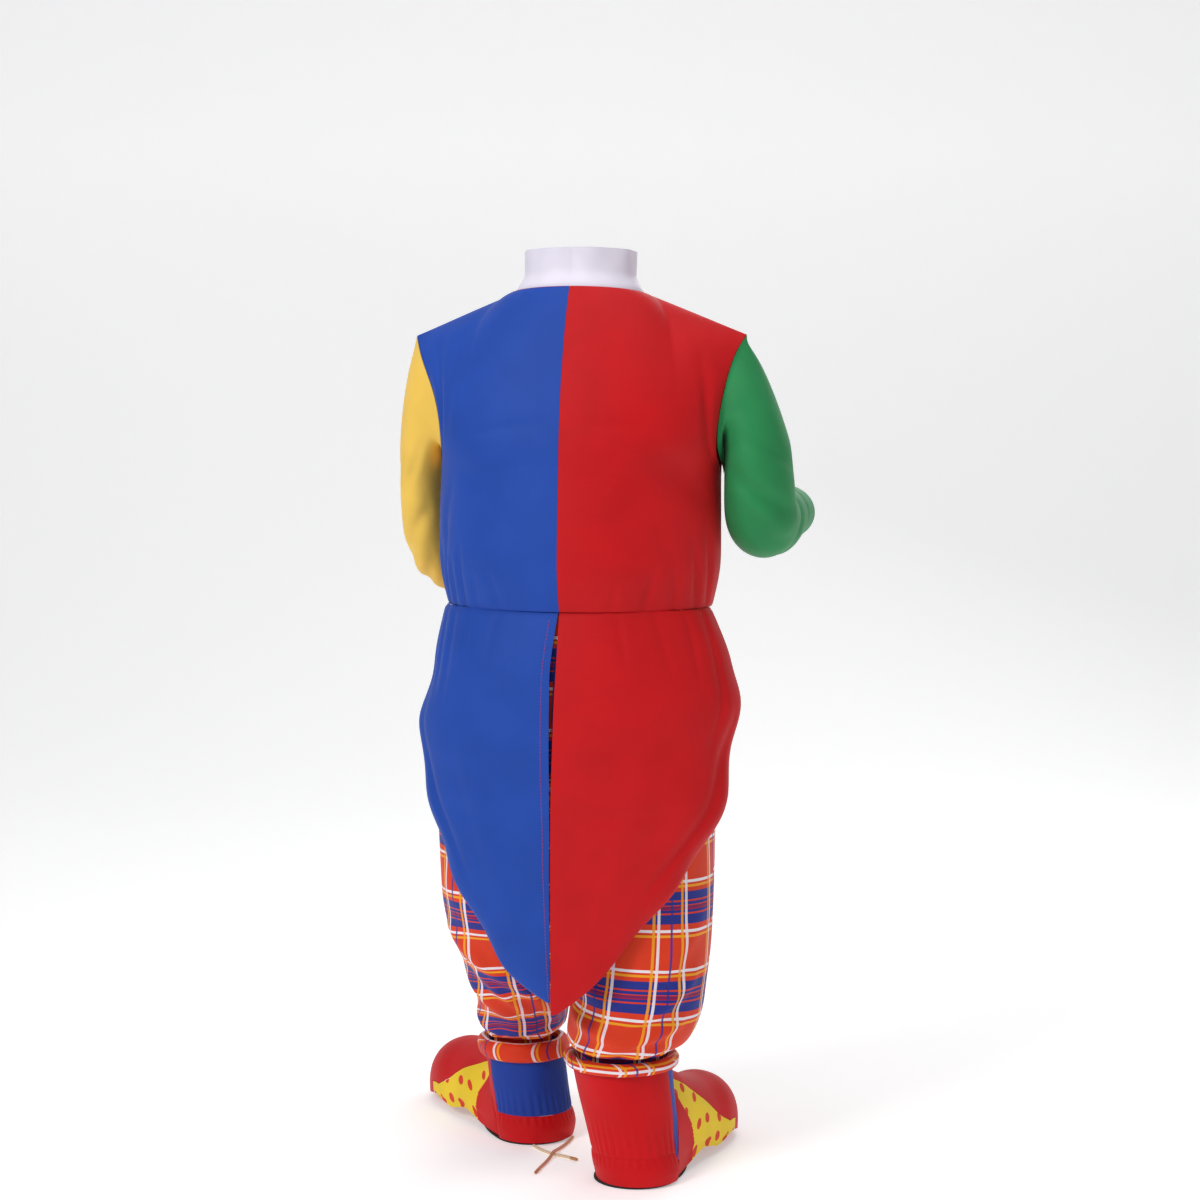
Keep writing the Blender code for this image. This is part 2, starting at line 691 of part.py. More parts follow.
def build_shoe(label, side, shoe, back_cloth, front_cloth, red, dotted, dark):
    """The six cloth pieces and the sole of one shoe cover. side turns the faces outward."""
    panel(f"shoe_{label}_shaft_back", shaft_back(side, shoe), *SHAFT_GRID, back_cloth, -side)
    panel(f"shoe_{label}_shaft_front", shaft_front(side, shoe), *SHAFT_GRID, front_cloth, side)
    panel(f"shoe_{label}_heel", heel_band(side, shoe), *HEEL_GRID, red, -side)
    panel(f"shoe_{label}_toe", toe_piece(side, shoe), 8, FOREFOOT_UP, red, -side)
    rows = round(FOREFOOT_UP * SIDE_PANEL_END)
    panel(f"shoe_{label}_side_outer", side_panel(side, shoe, False), 4, rows, dotted, -side)
    panel(f"shoe_{label}_side_inner", side_panel(side, shoe, True), 4, rows, dotted, side)
    sole(f"shoe_{label}_sole", side, shoe, dark)


# Lace: one cord from beside the left heel, knotted over a short one
LACE = 0.0042
LACE_ROUTE = (
    (0.0350, -0.120, 0.0024), (0.0362, -0.098, 0.0024), (0.0390, -0.078, 0.0024),
    (0.0420, -0.060, 0.0034), (0.0434, -0.044, 0.0050), (0.0440, -0.029, 0.0034),
    (0.0455, -0.010, 0.0023), (0.0475, 0.012, 0.0023), (0.0487, 0.034, 0.0023),
)
SHORT_ROUTE = (
    (0.0765, -0.0745, 0.0023), (0.0660, -0.0620, 0.0023), (0.0550, -0.0520, 0.0023),
    (0.0434, -0.0440, 0.0023), (0.0270, -0.0370, 0.0023), (0.0093, -0.0277, 0.0023),
)


def cord_mesh(name, route):
    curve = bpy.data.curves.new(name, "CURVE")
    curve.dimensions = "3D"
    curve.bevel_depth = LACE / 2
    curve.bevel_resolution = 2
    curve.use_fill_caps = True
    line = curve.splines.new("POLY")
    count = 3 * len(route) - 3
    line.points.add(count - 1)
    for i, point in enumerate(line.points):
        point.co = (*at(*spline(route, i / (count - 1))), 1)
    obj = bpy.data.objects.new(name, curve)
    bpy.context.scene.collection.objects.link(obj)
    bpy.context.view_layer.update()
    graph = bpy.context.evaluated_depsgraph_get()
    mesh = bpy.data.meshes.new_from_object(obj.evaluated_get(graph))
    bpy.data.objects.remove(obj, do_unlink=True)
    bm = bmesh.new()
    bm.from_mesh(mesh)
    bmesh.ops.remove_doubles(bm, verts=bm.verts[:], dist=1e-5)
    bmesh.ops.recalc_face_normals(bm, faces=bm.faces[:])
    bm.to_mesh(mesh)
    bm.free()
    return mesh


def lace(material):
    """Both cords, knotted into one where the long one crosses the short one."""
    whole = bpy.data.objects.new("lace", cord_mesh("lace", LACE_ROUTE))
    short = bpy.data.objects.new("lace_short", cord_mesh("lace_short", SHORT_ROUTE))
    for obj in (whole, short):
        bpy.context.scene.collection.objects.link(obj)
    short.hide_render = True
    short.display_type = "WIRE"
    join = whole.modifiers.new("Knot", "BOOLEAN")
    join.operation = "UNION"
    join.object = short
    whole.data.materials.append(material)


clear_scene()
blue = cloth("blue_cloth", BLUE)
red = cloth("red_cloth", RED)
yellow = cloth("yellow_cloth", YELLOW)
green = cloth("green_cloth", GREEN)
white = cloth("white_cloth", WHITE)
plaid = cloth("plaid_cloth", PLAID)
dotted = cloth("dotted_cloth", DOTTED)
dark = cloth("dark_sole", DARK, 0.8)
tan = cloth("tan_lace", TAN, 0.7)

bodice_panel("back_left", BACK_ROWS, BACK_LEFT_FOLDS, 1, 1, blue)
bodice_panel("back_right", RIGHT_BACK_ROWS, BACK_RIGHT_FOLDS, -1, 1, red)
bodice_panel("front_left", FRONT_ROWS, FRONT_FOLDS, 1, -1, blue)
bodice_panel("front_right", RIGHT_FRONT_ROWS, FRONT_FOLDS, -1, -1, red)
sleeve("sleeve_left", 1, LEFT_ARM, LEFT_SLEEVE_FOLDS, yellow)
sleeve("sleeve_right", -1, RIGHT_ARM, RIGHT_SLEEVE_FOLDS, green)
wall("collar", collar_surface(0), collar_surface(THIN_WALL), *COLLAR_GRID, white)

TAILS = ((1, "left", LEFT_TAIL, LEFT_TAIL_FOLDS, blue), (-1, "right", RIGHT_TAIL, RIGHT_TAIL_FOLDS, red))
for side, label, rows, folds, material in TAILS:
    surface = folded(tail_base(side, rows), folds, side)
    panel(f"tail_{label}", surface, *TAIL_GRID, material, side)

LEGS = (
    (1, "left", LEFT_LEG, LEFT_LEG_FOLDS, LEFT_SHOE),
    (-1, "right", RIGHT_LEG, RIGHT_LEG_FOLDS, RIGHT_SHOE),
)
for side, label, rows, folds, shoe in LEGS:
    for face, half, creases in ((1, "back", folds), (-1, "front", FRONT_LEG_FOLDS)):
        leg_panel(f"leg_{label}_{half}", side, rows, creases, face, shoe[7], plaid)

panel("hem_roll_left", roll_surface(1, LEFT_SHOE, LEFT_ROLL), *ROLL_GRID, plaid, 1, ring=True)
panel("hem_roll_right", roll_surface(-1, RIGHT_SHOE, RIGHT_ROLL), *ROLL_GRID, plaid, -1, ring=True)
build_shoe("left", 1, LEFT_SHOE, blue, red, red, dotted, dark)
build_shoe("right", -1, RIGHT_SHOE, red, blue, red, dotted, dark)
lace(tan)
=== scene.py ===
import bpy
import bmesh
from math import cos, exp, pi, radians, sin, sqrt
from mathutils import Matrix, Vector


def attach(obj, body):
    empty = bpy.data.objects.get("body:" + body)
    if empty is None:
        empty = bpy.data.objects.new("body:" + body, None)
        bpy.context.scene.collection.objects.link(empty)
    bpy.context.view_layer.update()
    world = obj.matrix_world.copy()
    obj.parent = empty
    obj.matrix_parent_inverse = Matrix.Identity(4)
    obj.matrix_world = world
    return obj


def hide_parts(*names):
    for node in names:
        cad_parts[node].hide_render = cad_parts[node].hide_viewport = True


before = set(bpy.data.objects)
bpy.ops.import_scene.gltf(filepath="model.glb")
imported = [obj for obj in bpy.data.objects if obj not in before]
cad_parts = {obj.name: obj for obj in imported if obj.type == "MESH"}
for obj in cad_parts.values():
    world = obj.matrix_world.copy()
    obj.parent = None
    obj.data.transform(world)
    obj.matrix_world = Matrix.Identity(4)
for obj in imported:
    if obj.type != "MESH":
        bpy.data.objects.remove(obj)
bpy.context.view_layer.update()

# Camera: three metres behind the garment and a little to its right, at chest height
NECK_HEIGHT = 1.060
CAMERA_TURN = radians(11.5)
CAMERA_AWAY = 3.05
CAMERA_ASIDE = 0.024
CAMERA_HEIGHT = 0.96
CAMERA_PITCH = radians(4.9)
CAMERA_LENS = 76.5


def at(x, y, height):
    """A point from its place on the floor plan and its height above the floor."""
    return Vector((x, y, height - NECK_HEIGHT))


lens = bpy.data.cameras.new("camera")
lens.lens = CAMERA_LENS
lens.sensor_width = 36
lens.clip_end = 50
camera = bpy.data.objects.new("camera", lens)
bpy.context.scene.collection.objects.link(camera)
camera_right = Vector((-cos(CAMERA_TURN), -sin(CAMERA_TURN), 0))
camera_back = Vector((-sin(CAMERA_TURN), cos(CAMERA_TURN), 0))
camera.location = camera_back * CAMERA_AWAY + camera_right * CAMERA_ASIDE + at(0, 0, CAMERA_HEIGHT)
camera.rotation_euler = (pi / 2 - CAMERA_PITCH, 0, pi + CAMERA_TURN)
bpy.context.scene.camera = camera

# Materials: one helper adds a node, with its settings and its links


def linear(channel):
    return channel / 12.92 if channel <= 0.04045 else ((channel + 0.055) / 1.055) ** 2.4


def shade(text):
    """An sRGB hex colour as linear RGBA."""
    return (*[linear(int(text[i:i + 2], 16) / 255) for i in (0, 2, 4)], 1)


def node(tree, kind, settings=None, **inputs):
    """A new node. Each input is a value or a (node, output) pair; names use _ for a space."""
    made = tree.nodes.new(kind)
    for name, value in (settings or {}).items():
        setattr(made, name, value)
    for name, value in inputs.items():
        socket = made.inputs[int(name[1:])] if name[1:].isdigit() else made.inputs[name.replace("_", " ")]
        if isinstance(value, tuple) and len(value) == 2 and hasattr(value[0], "outputs"):
            tree.links.new(value[0].outputs[value[1]], socket)
        else:
            socket.default_value = value
    return made


# The wave texture's scale for a period of 1
WAVE_SCALE = 0.314


def coat(name, roughness, colour=None):
    """A new material, with its node tree and its shader."""
    material = bpy.data.materials.new(name)
    material.use_nodes = True
    tree = material.node_tree
    shader = tree.nodes["Principled BSDF"]
    shader.inputs["Roughness"].default_value = roughness
    if colour:
        shader.inputs["Base Color"].default_value = shade(colour)
    return material, tree, shader


def threads(tree, place, direction, width, waver):
    """Even threads of a given width along the cloth's own map."""
    return node(tree, "ShaderNodeTexWave", {"bands_direction": direction}, Vector=(place, "UV"),
                Scale=WAVE_SCALE / width, Distortion=waver)


# One lengthwise and one crosswise thread take 0.5 mm, drawn here at 1.1 mm so that the weave shows
THREAD = 0.0011
SOFT_PATCH = 0.055


def woven(name, colour=None, roughness=0.6, sheen=0.06, weave=0.10, tree_colour=None):
    """Smooth woven polyester: a soft sheen, faint threads and slightly uneven dye."""
    material, tree, shader = coat(name, roughness)
    shader.inputs["Sheen Weight"].default_value = sheen
    shader.inputs["Sheen Roughness"].default_value = 0.4
    shader.inputs["Specular IOR Level"].default_value = 0.2
    place = node(tree, "ShaderNodeTexCoord")
    if tree_colour:
        base = tree_colour(tree, place)
    else:
        base = (node(tree, "ShaderNodeRGB"), "Color")
        base[0].outputs[0].default_value = shade(colour)
    blotch = node(tree, "ShaderNodeTexNoise", Vector=(place, "Object"), Scale=1 / SOFT_PATCH, Detail=2.0)
    uneven = node(tree, "ShaderNodeMapRange", Value=(blotch, "Fac"), From_Min=0.3, From_Max=0.7,
                  To_Min=0.93, To_Max=1.05)
    dyed = node(tree, "ShaderNodeHueSaturation", Value=(uneven, "Result"), Color=base)
    tree.links.new(dyed.outputs["Color"], shader.inputs["Base Color"])
    warp = threads(tree, place, "X", THREAD, 0.4)
    weft = threads(tree, place, "Y", THREAD, 0.4)
    cross = node(tree, "ShaderNodeMath", {"operation": "ADD"}, _0=(warp, "Fac"), _1=(weft, "Fac"))
    bump = node(tree, "ShaderNodeBump", Height=(cross, "Value"), Strength=weave, Distance=0.0004)
    tree.links.new(bump.outputs["Normal"], shader.inputs["Normal"])
    return material


# Cloth walls: a grid laid on a surface of (u, v), with its inner face a wall behind it,
# and a UV map that gives each point's place on the flat cloth in metres
THIN_WALL = 0.0015
GAP = 0.0003
HALF_GAP = GAP / 2
STEP = 1e-4


def mix(a, b, t):
    return a + (b - a) * t


def smooth(edge0, edge1, x):
    t = min(1, max(0, (x - edge0) / (edge1 - edge0)))
    return t * t * (3 - 2 * t)


def spline(rows, t):
    """Values at t, from 0 to 1, on a smooth curve through equally spaced rows of numbers."""
    span = t * (len(rows) - 1)
    i = min(int(span), len(rows) - 2)
    f = span - i
    a = rows[max(i - 1, 0)]
    b = rows[i]
    c = rows[i + 1]
    d = rows[min(i + 2, len(rows) - 1)]
    return [0.5 * (2 * q + (r - p) * f + (2 * p - 5 * q + 4 * r - s) * f * f
                   + (3 * q - p - 3 * r + s) * f ** 3) for p, q, r, s in zip(a, b, c, d)]


def normal(surface, u, v):
    across = surface(u + STEP, v) - surface(u - STEP, v)
    up = surface(u, v + STEP) - surface(u, v - STEP)
    return across.cross(up).normalized()


def fold_depth(folds, u, v):
    """How far troughs (or ridges, where negative) sink the cloth at (u, v)."""
    total = 0
    for u0, v0, u1, v1, width, depth in folds:
        du = u1 - u0
        dv = v1 - v0
        along = ((u - u0) * du + (v - v0) * dv) / (du * du + dv * dv)
        near = min(1, max(0, along))
        away = sqrt((u - u0 - near * du) ** 2 + (v - v0 - near * dv) ** 2) / width
        if away < 2.5:
            total += depth * exp(-away * away) * (0.35 + 0.65 * sin(pi * near))
    return total * smooth(0, 0.12, u) * smooth(0, 0.12, 1 - u)


def set_down(name, bm, *materials):
    """A new object in the scene from a mesh in the making."""
    mesh = bpy.data.meshes.new(name)
    bm.to_mesh(mesh)
    bm.free()
    for material in materials:
        mesh.materials.append(material)
    piece = bpy.data.objects.new(name, mesh)
    bpy.context.scene.collection.objects.link(piece)
    return piece


def lay_wall(name, outer, inner, across, up, material, ring=False, grain=0.0, origin=(0, 0), turned=1,
             second=None):
    """A cloth wall between two faces as one closed mesh, mapped by place on the flat cloth.

    grain is the u of the straight thread, origin the place on the cloth where it starts, and
    turned is -1 where the cloth runs the other way. second is another cloth and where it lies.
    """
    bm = bmesh.new()
    bmesh.ops.create_grid(bm, x_segments=across, y_segments=up, size=0.5)
    key_u = bm.verts.layers.float.new("u")
    key_v = bm.verts.layers.float.new("v")
    flat = bm.loops.layers.uv.new("cloth")
    points = [[outer(i / across, j / up) for i in range(across + 1)] for j in range(up + 1)]
    start = round(grain * across)
    place = {}
    fall = [0.0] * (across + 1)
    for j, row in enumerate(points):
        run = [0.0]
        for i in range(across):
            run.append(run[-1] + (row[i + 1] - row[i]).length)
        if j:
            fall = [f + (row[i] - points[j - 1][i]).length for i, f in enumerate(fall)]
        for i in range(across + 1):
            along = turned * (run[i] - run[start])
            place[i, j] = (origin[0] + along, origin[1] + mix(fall[i], fall[start], 0.5))
    for vert in bm.verts:
        vert[key_u] = vert.co.x + 0.5
        vert[key_v] = vert.co.y + 0.5
    for face in bm.faces:
        face.smooth = True
        centre = sum((loop.vert.co for loop in face.loops), Vector()) / 4
        if second and second[1](centre.x + 0.5, centre.y + 0.5):
            face.material_index = 1
        for loop in face.loops:
            key = (round(loop.vert[key_u] * across), round(loop.vert[key_v] * up))
            loop[flat].uv = place[key]
    if ring:
        for vert in bm.verts:
            turn = 2 * pi * vert[key_u]
            vert.co = ((1 + vert[key_v]) * cos(turn), (1 + vert[key_v]) * sin(turn), 0)
        bmesh.ops.remove_doubles(bm, verts=bm.verts[:], dist=1e-5)
    first = set(bm.verts)
    bmesh.ops.extrude_face_region(bm, geom=bm.faces[:], use_keep_orig=True)
    for vert in bm.verts:
        surface = outer if vert in first else inner
        vert.co = surface(vert[key_u], vert[key_v])
    bmesh.ops.recalc_face_normals(bm, faces=bm.faces[:])
    if bm.calc_volume(signed=True) < 0:
        bmesh.ops.reverse_faces(bm, faces=bm.faces[:])
    piece = set_down(name, bm, material, *(second or ())[:1])
    piece.data.shade_smooth()
    piece.data.set_sharp_from_angle(angle=radians(60))
    return piece


def cut(piece, slot, replaced, size, area):
    """Hangs a cloth piece from the root and hides the part it stands in for."""
    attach(piece, "root")
    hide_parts(replaced)


# Bodice: blue and red halves, back and front, joined at the centre, side and shoulder seams;
# thin polyester with packing creases, magenta thread along the blue half's neckline
NECK_X = 0.080
NECK_BACK = 0.058
NECK_FRONT = 0.066
NECK_SIDE_HEIGHT = 1.063
NECK_BACK_RISE = 0.008
NECK_FRONT_DROP = 0.030
SHOULDER_X = 0.200
SHOULDER_HEIGHT = 1.015
NECK_SHARE = 5 / 9
ARMPIT_ROW = 3
SHELL = 0.0010
WAIST_DIP = 0.0010
WAIST_FADE = 0.010
# How much farther out the right side edge lies, row by row
RIGHT_ARMHOLE_OUT = (0, 0, 0, 0.002, 0.012, 0.012, 0, 0)

# Centre height, centre depth, side x, side y, side height, share of the shoulder line
BACK_ROWS = (
    (0.694, 0.118, 0.160, 0.000, 0.694, 0.00),
    (0.740, 0.129, 0.169, 0.000, 0.740, 0.00),
    (0.795, 0.127, 0.170, 0.000, 0.795, 0.00),
    (0.850, 0.122, 0.168, 0.000, 0.850, 0.00),
    (0.900, 0.118, 0.159, 0.042, 0.888, 0.00),
    (0.955, 0.109, 0.164, 0.047, 0.935, 0.10),
    (1.015, 0.090, 0.183, 0.036, 0.978, 0.45),
    (1.071, 0.058, 0.200, 0.000, 1.015, 1.00),
)
FRONT_ROWS = (
    (0.694, 0.100, 0.160, 0.000, 0.694, 0.00),
    (0.740, 0.112, 0.169, 0.000, 0.740, 0.00),
    (0.795, 0.110, 0.170, 0.000, 0.795, 0.00),
    (0.850, 0.108, 0.168, 0.000, 0.850, 0.00),
    (0.900, 0.106, 0.156, 0.038, 0.888, 0.00),
    (0.950, 0.100, 0.160, 0.044, 0.935, 0.10),
    (1.000, 0.086, 0.181, 0.034, 0.978, 0.45),
    (1.033, 0.066, 0.200, 0.000, 1.015, 1.00),
)

# Packing creases, drag lines and waist puckers: u0, v0, u1, v1, width, depth
BACK_LEFT_FOLDS = (
    (0.10, 0.60, 0.50, 0.58, 0.012, 0.0018),
    (0.12, 0.47, 0.34, 0.46, 0.010, 0.0008),
    (0.90, 0.52, 0.80, 0.82, 0.045, 0.0050),
    (0.74, 0.60, 0.60, 0.86, 0.040, 0.0020),
    (0.20, 0.30, 0.55, 0.44, 0.040, 0.0014),
    (0.30, 0.00, 0.34, 0.14, 0.020, 0.0030),
    (0.46, 0.00, 0.44, 0.12, 0.016, 0.0028),
    (0.56, 0.00, 0.54, 0.20, 0.020, 0.0042),
    (0.66, 0.00, 0.62, 0.16, 0.018, 0.0038),
    (0.76, 0.00, 0.68, 0.26, 0.022, 0.0046),
    (0.86, 0.00, 0.78, 0.22, 0.022, 0.0040),
    (0.80, 0.10, 0.62, 0.40, 0.035, 0.0026),
)
BACK_RIGHT_FOLDS = (
    (0.05, 0.60, 0.50, 0.595, 0.012, 0.0009),
    (0.08, 0.44, 0.36, 0.43, 0.012, 0.0015),
    (0.88, 0.50, 0.74, 0.76, 0.045, 0.0045),
    (0.70, 0.40, 0.34, 0.60, 0.050, 0.0022),
    (0.84, 0.34, 0.46, 0.44, 0.040, 0.0022),
    (0.60, 0.10, 0.40, 0.32, 0.040, 0.0018),
    (0.24, 0.00, 0.26, 0.10, 0.018, 0.0020),
    (0.40, 0.00, 0.44, 0.14, 0.020, 0.0028),
    (0.58, 0.00, 0.56, 0.13, 0.018, 0.0026),
    (0.76, 0.00, 0.68, 0.22, 0.024, 0.0044),
    (0.88, 0.00, 0.80, 0.26, 0.024, 0.0040),
)
FRONT_LEFT_FOLDS = (
    (0.14, 0.60, 0.46, 0.59, 0.012, 0.0012),
    (0.30, 0.00, 0.36, 0.18, 0.022, 0.0032),
    (0.50, 0.00, 0.48, 0.14, 0.018, 0.0028),
    (0.68, 0.00, 0.62, 0.24, 0.024, 0.0042),
    (0.84, 0.00, 0.74, 0.30, 0.026, 0.0040),
    (0.90, 0.46, 0.70, 0.72, 0.050, 0.0045),
    (0.66, 0.28, 0.30, 0.46, 0.050, 0.0022),
)
FRONT_RIGHT_FOLDS = (
    (0.12, 0.44, 0.40, 0.43, 0.012, 0.0012),
    (0.26, 0.00, 0.30, 0.14, 0.020, 0.0028),
    (0.44, 0.00, 0.46, 0.20, 0.022, 0.0036),
    (0.62, 0.00, 0.58, 0.15, 0.020, 0.0030),
    (0.80, 0.00, 0.70, 0.26, 0.026, 0.0044),
    (0.88, 0.48, 0.72, 0.70, 0.050, 0.0040),
    (0.70, 0.34, 0.36, 0.52, 0.050, 0.0024),
)


def neck_edge(turn, face):
    """A point of the neckline. turn is 0 at the centre and a quarter circle at the shoulder."""
    if face > 0:
        depth = NECK_BACK
        rise = NECK_BACK_RISE * cos(turn)
    else:
        depth = NECK_FRONT
        rise = -NECK_FRONT_DROP * cos(turn) ** 2
    return Vector((NECK_X * sin(turn), face * depth * cos(turn), NECK_SIDE_HEIGHT + rise))


def right_side(rows):
    """The rows of a right panel: its armhole lies farther out than the left one."""
    return tuple((*row[:2], row[2] + out, *row[3:]) for row, out in zip(rows, RIGHT_ARMHOLE_OUT))


RIGHT_BACK_ROWS = right_side(BACK_ROWS)
RIGHT_FRONT_ROWS = right_side(FRONT_ROWS)


def bodice_base(rows, side, face):
    """One quarter of the bodice. side is +1 on the wearer's left, face is +1 at the back."""
    def surface(u, v):
        centre_height, depth, side_x, side_y, side_height, share = spline(rows, v)
        turn = u * pi / 2
        x = side_x * sin(turn)
        y = mix(side_y, depth, cos(turn))
        height = mix(side_height, centre_height, cos(turn))
        if u < NECK_SHARE:
            top = neck_edge(u / NECK_SHARE * pi / 2, face)
        else:
            tip = Vector((SHOULDER_X, 0, SHOULDER_HEIGHT))
            top = neck_edge(pi / 2, face).lerp(tip, (u - NECK_SHARE) / (1 - NECK_SHARE))
        x = mix(x, top.x, share)
        y = mix(y, face * top.y, share)
        height = mix(height, top.z, share)
        return at(side * (x + HALF_GAP), face * (y + HALF_GAP), height)
    return surface


def bodice_surface(rows, folds, side, face, inset):
    """A bodice panel's outer face, or its inner face where inset is the wall."""
    out = side * face
    base = bodice_base(rows, side, face)

    def surface(u, v):
        sink = fold_depth(folds, u, v) + inset + WAIST_DIP * exp(-v / WAIST_FADE)
        point = base(u, v) + out * sink * normal(base, u, v)
        point.x = side * max(side * point.x, HALF_GAP)
        point.y = face * max(face * point.y, HALF_GAP)
        return point
    return surface


blue_cloth = woven("Blue polyester", "1E48A6")
red_cloth = woven("Red polyester", "C40D14")
BODICE = (
    ("back_left", BACK_ROWS, BACK_LEFT_FOLDS, 1, 1, blue_cloth, "blue_cloth"),
    ("back_right", RIGHT_BACK_ROWS, BACK_RIGHT_FOLDS, -1, 1, red_cloth, "red_cloth"),
    ("front_left", FRONT_ROWS, FRONT_LEFT_FOLDS, 1, -1, blue_cloth, "blue_cloth"),
    ("front_right", RIGHT_FRONT_ROWS, FRONT_RIGHT_FOLDS, -1, -1, red_cloth, "red_cloth"),
)
for name, rows, folds, side, face, material, slot in BODICE:
    outer = bodice_surface(rows, folds, side, face, 0)
    inner = bodice_surface(rows, folds, side, face, SHELL)
    piece = lay_wall(name, outer, inner, 54, 84, material)
    size, area = ((0.27, 0.41), 0.080) if face > 0 else ((0.25, 0.40), 0.075)
    cut(piece, slot, name, size, area)


# Sleeves: yellow and green tubes from the armhole round the bent elbow, creased at the elbow.
# The green one ends at the forearm, the yellow one at the wrist
# Centre x, y and height, half width, half depth across the bend
LEFT_ARM = (
    (0.182, 0.000, 0.935, 0.030, 0.045),
    (0.199, -0.018, 0.915, 0.029, 0.054),
    (0.202, -0.040, 0.865, 0.030, 0.055),
    (0.203, -0.050, 0.815, 0.030, 0.052),
    (0.199, -0.066, 0.766, 0.032, 0.048),
    (0.181, -0.104, 0.742, 0.036, 0.045),
    (0.148, -0.150, 0.742, 0.038, 0.043),
    (0.108, -0.192, 0.748, 0.036, 0.040),
    (0.072, -0.220, 0.752, 0.036, 0.038),
)
RIGHT_ARM = (
    (0.186, 0.000, 0.935, 0.030, 0.045),
    (0.205, -0.004, 0.925, 0.034, 0.054),
    (0.214, 0.000, 0.885, 0.038, 0.054),
    (0.216, 0.000, 0.845, 0.041, 0.052),
    (0.217, -0.012, 0.806, 0.043, 0.050),
    (0.218, -0.055, 0.793, 0.043, 0.044),
    (0.219, -0.100, 0.795, 0.042, 0.040),
    (0.220, -0.145, 0.797, 0.040, 0.036),
    (0.221, -0.190, 0.797, 0.039, 0.034),
)
SLEEVE_CAP = 0.26
ARMPIT_EASE = 0.003
ARMHOLE_HEIGHT = 0.93

LEFT_SLEEVE_FOLDS = (
    (0.18, 0.38, 0.45, 0.52, 0.030, 0.0060),
    (0.30, 0.62, 0.68, 0.52, 0.030, 0.0060),
    (0.20, 0.50, 0.42, 0.60, 0.022, 0.0045),
    (0.55, 0.28, 0.80, 0.42, 0.035, 0.0050),
    (0.60, 0.70, 0.85, 0.62, 0.030, 0.0050),
    (0.66, 0.50, 0.90, 0.56, 0.028, 0.0050),
    (0.20, 0.16, 0.34, 0.34, 0.030, 0.0030),
    (0.40, 0.22, 0.50, 0.40, 0.035, 0.0030),
    (0.30, 0.76, 0.60, 0.72, 0.025, 0.0030),
    (0.55, 0.84, 0.80, 0.88, 0.025, 0.0026),
)
RIGHT_SLEEVE_FOLDS = (
    (0.14, 0.35, 0.46, 0.47, 0.028, 0.0065),
    (0.20, 0.44, 0.42, 0.54, 0.024, 0.0050),
    (0.22, 0.24, 0.48, 0.32, 0.026, 0.0045),
    (0.18, 0.12, 0.36, 0.22, 0.030, 0.0030),
    (0.55, 0.45, 0.85, 0.52, 0.032, 0.0070),
    (0.60, 0.66, 0.85, 0.58, 0.030, 0.0050),
    (0.62, 0.34, 0.86, 0.42, 0.030, 0.0050),
    (0.40, 0.58, 0.62, 0.70, 0.026, 0.0040),
    (0.16, 0.66, 0.36, 0.60, 0.024, 0.0035),
    (0.46, 0.82, 0.70, 0.86, 0.024, 0.0026),
)


def armhole_point(side, u):
    """The edge of the armhole: up the back from the armpit, over the shoulder, down the front."""
    start = ARMPIT_ROW / (len(BACK_ROWS) - 1)
    back, front = (BACK_ROWS, FRONT_ROWS) if side > 0 else (RIGHT_BACK_ROWS, RIGHT_FRONT_ROWS)
    if u < 0.5:
        return bodice_base(back, side, 1)(1, mix(start, 1, 2 * u))
    return bodice_base(front, side, -1)(1, mix(1, start, 2 * u - 1))


def sleeve_ring(side, rows, u, v, inset):
    x, y, height, half_width, half_depth = spline(rows, v)
    before = Vector(spline(rows, v - 0.01)[:3])
    after = Vector(spline(rows, v + 0.01)[:3])
    before.x *= side
    after.x *= side
    along = (after - before).normalized()
    across = (Vector((1, 0, 0)) - along.x * along).normalized()
    back = across.cross(along)
    turn = 2 * pi * u
    return (at(side * x, y, height) - side * across * (half_width - inset) * cos(turn)
            + back * (half_depth - inset) * sin(turn))


def sleeve_surface(side, rows, folds, inset):
    """A sleeve's outer face, or its inner face where inset is the wall."""
    centre = at(side * SHOULDER_X, 0, ARMHOLE_HEIGHT)

    def surface(u, v):
        u = u % 1
        under = max(0, cos(2 * pi * u)) ** 4
        edge = armhole_point(side, u) + Vector((side * (2 * GAP + ARMPIT_EASE * under), 0, 0))
        toward = Vector((0, centre.y - edge.y, centre.z - edge.z)).normalized()
        edge += inset * toward
        sink = fold_depth(folds, u, v)
        ring = sleeve_ring(side, rows, u, v, inset + sink)
        return edge.lerp(ring, smooth(0, SLEEVE_CAP, v))
    return surface


SLEEVES = (
    ("sleeve_left", 1, LEFT_ARM, LEFT_SLEEVE_FOLDS, "yellow_cloth", "EFC456", (0.34, 0.43), 0.095),
    ("sleeve_right", -1, RIGHT_ARM, RIGHT_SLEEVE_FOLDS, "green_cloth", "2A8A50", (0.34, 0.33), 0.073),
)
for name, side, rows, folds, slot, colour, size, area in SLEEVES:
    outer = sleeve_surface(side, rows, folds, 0)
    inner = sleeve_surface(side, rows, folds, SHELL)
    material = woven(slot.replace("_cloth", " polyester").capitalize(), colour)
    piece = lay_wall(name, outer, inner, 88, 110, material, ring=True)
    cut(piece, slot, name, size, area)

# Stand collar: one thin white strip, lapped at the centre back with the right end on top
COLLAR_HEIGHT = 0.050
COLLAR_LAP = radians(14)
COLLAR_LEAN = 0.010
COLLAR_SEAT = 0.0016
COLLAR_DROP = 0.0012
COLLAR_CORNER = 0.007
COLLAR_CORNER_TURN = radians(9)
COLLAR_TILT = 0.004
COLLAR_SWAY = 0.0012
COLLAR_SHELL = 0.0008


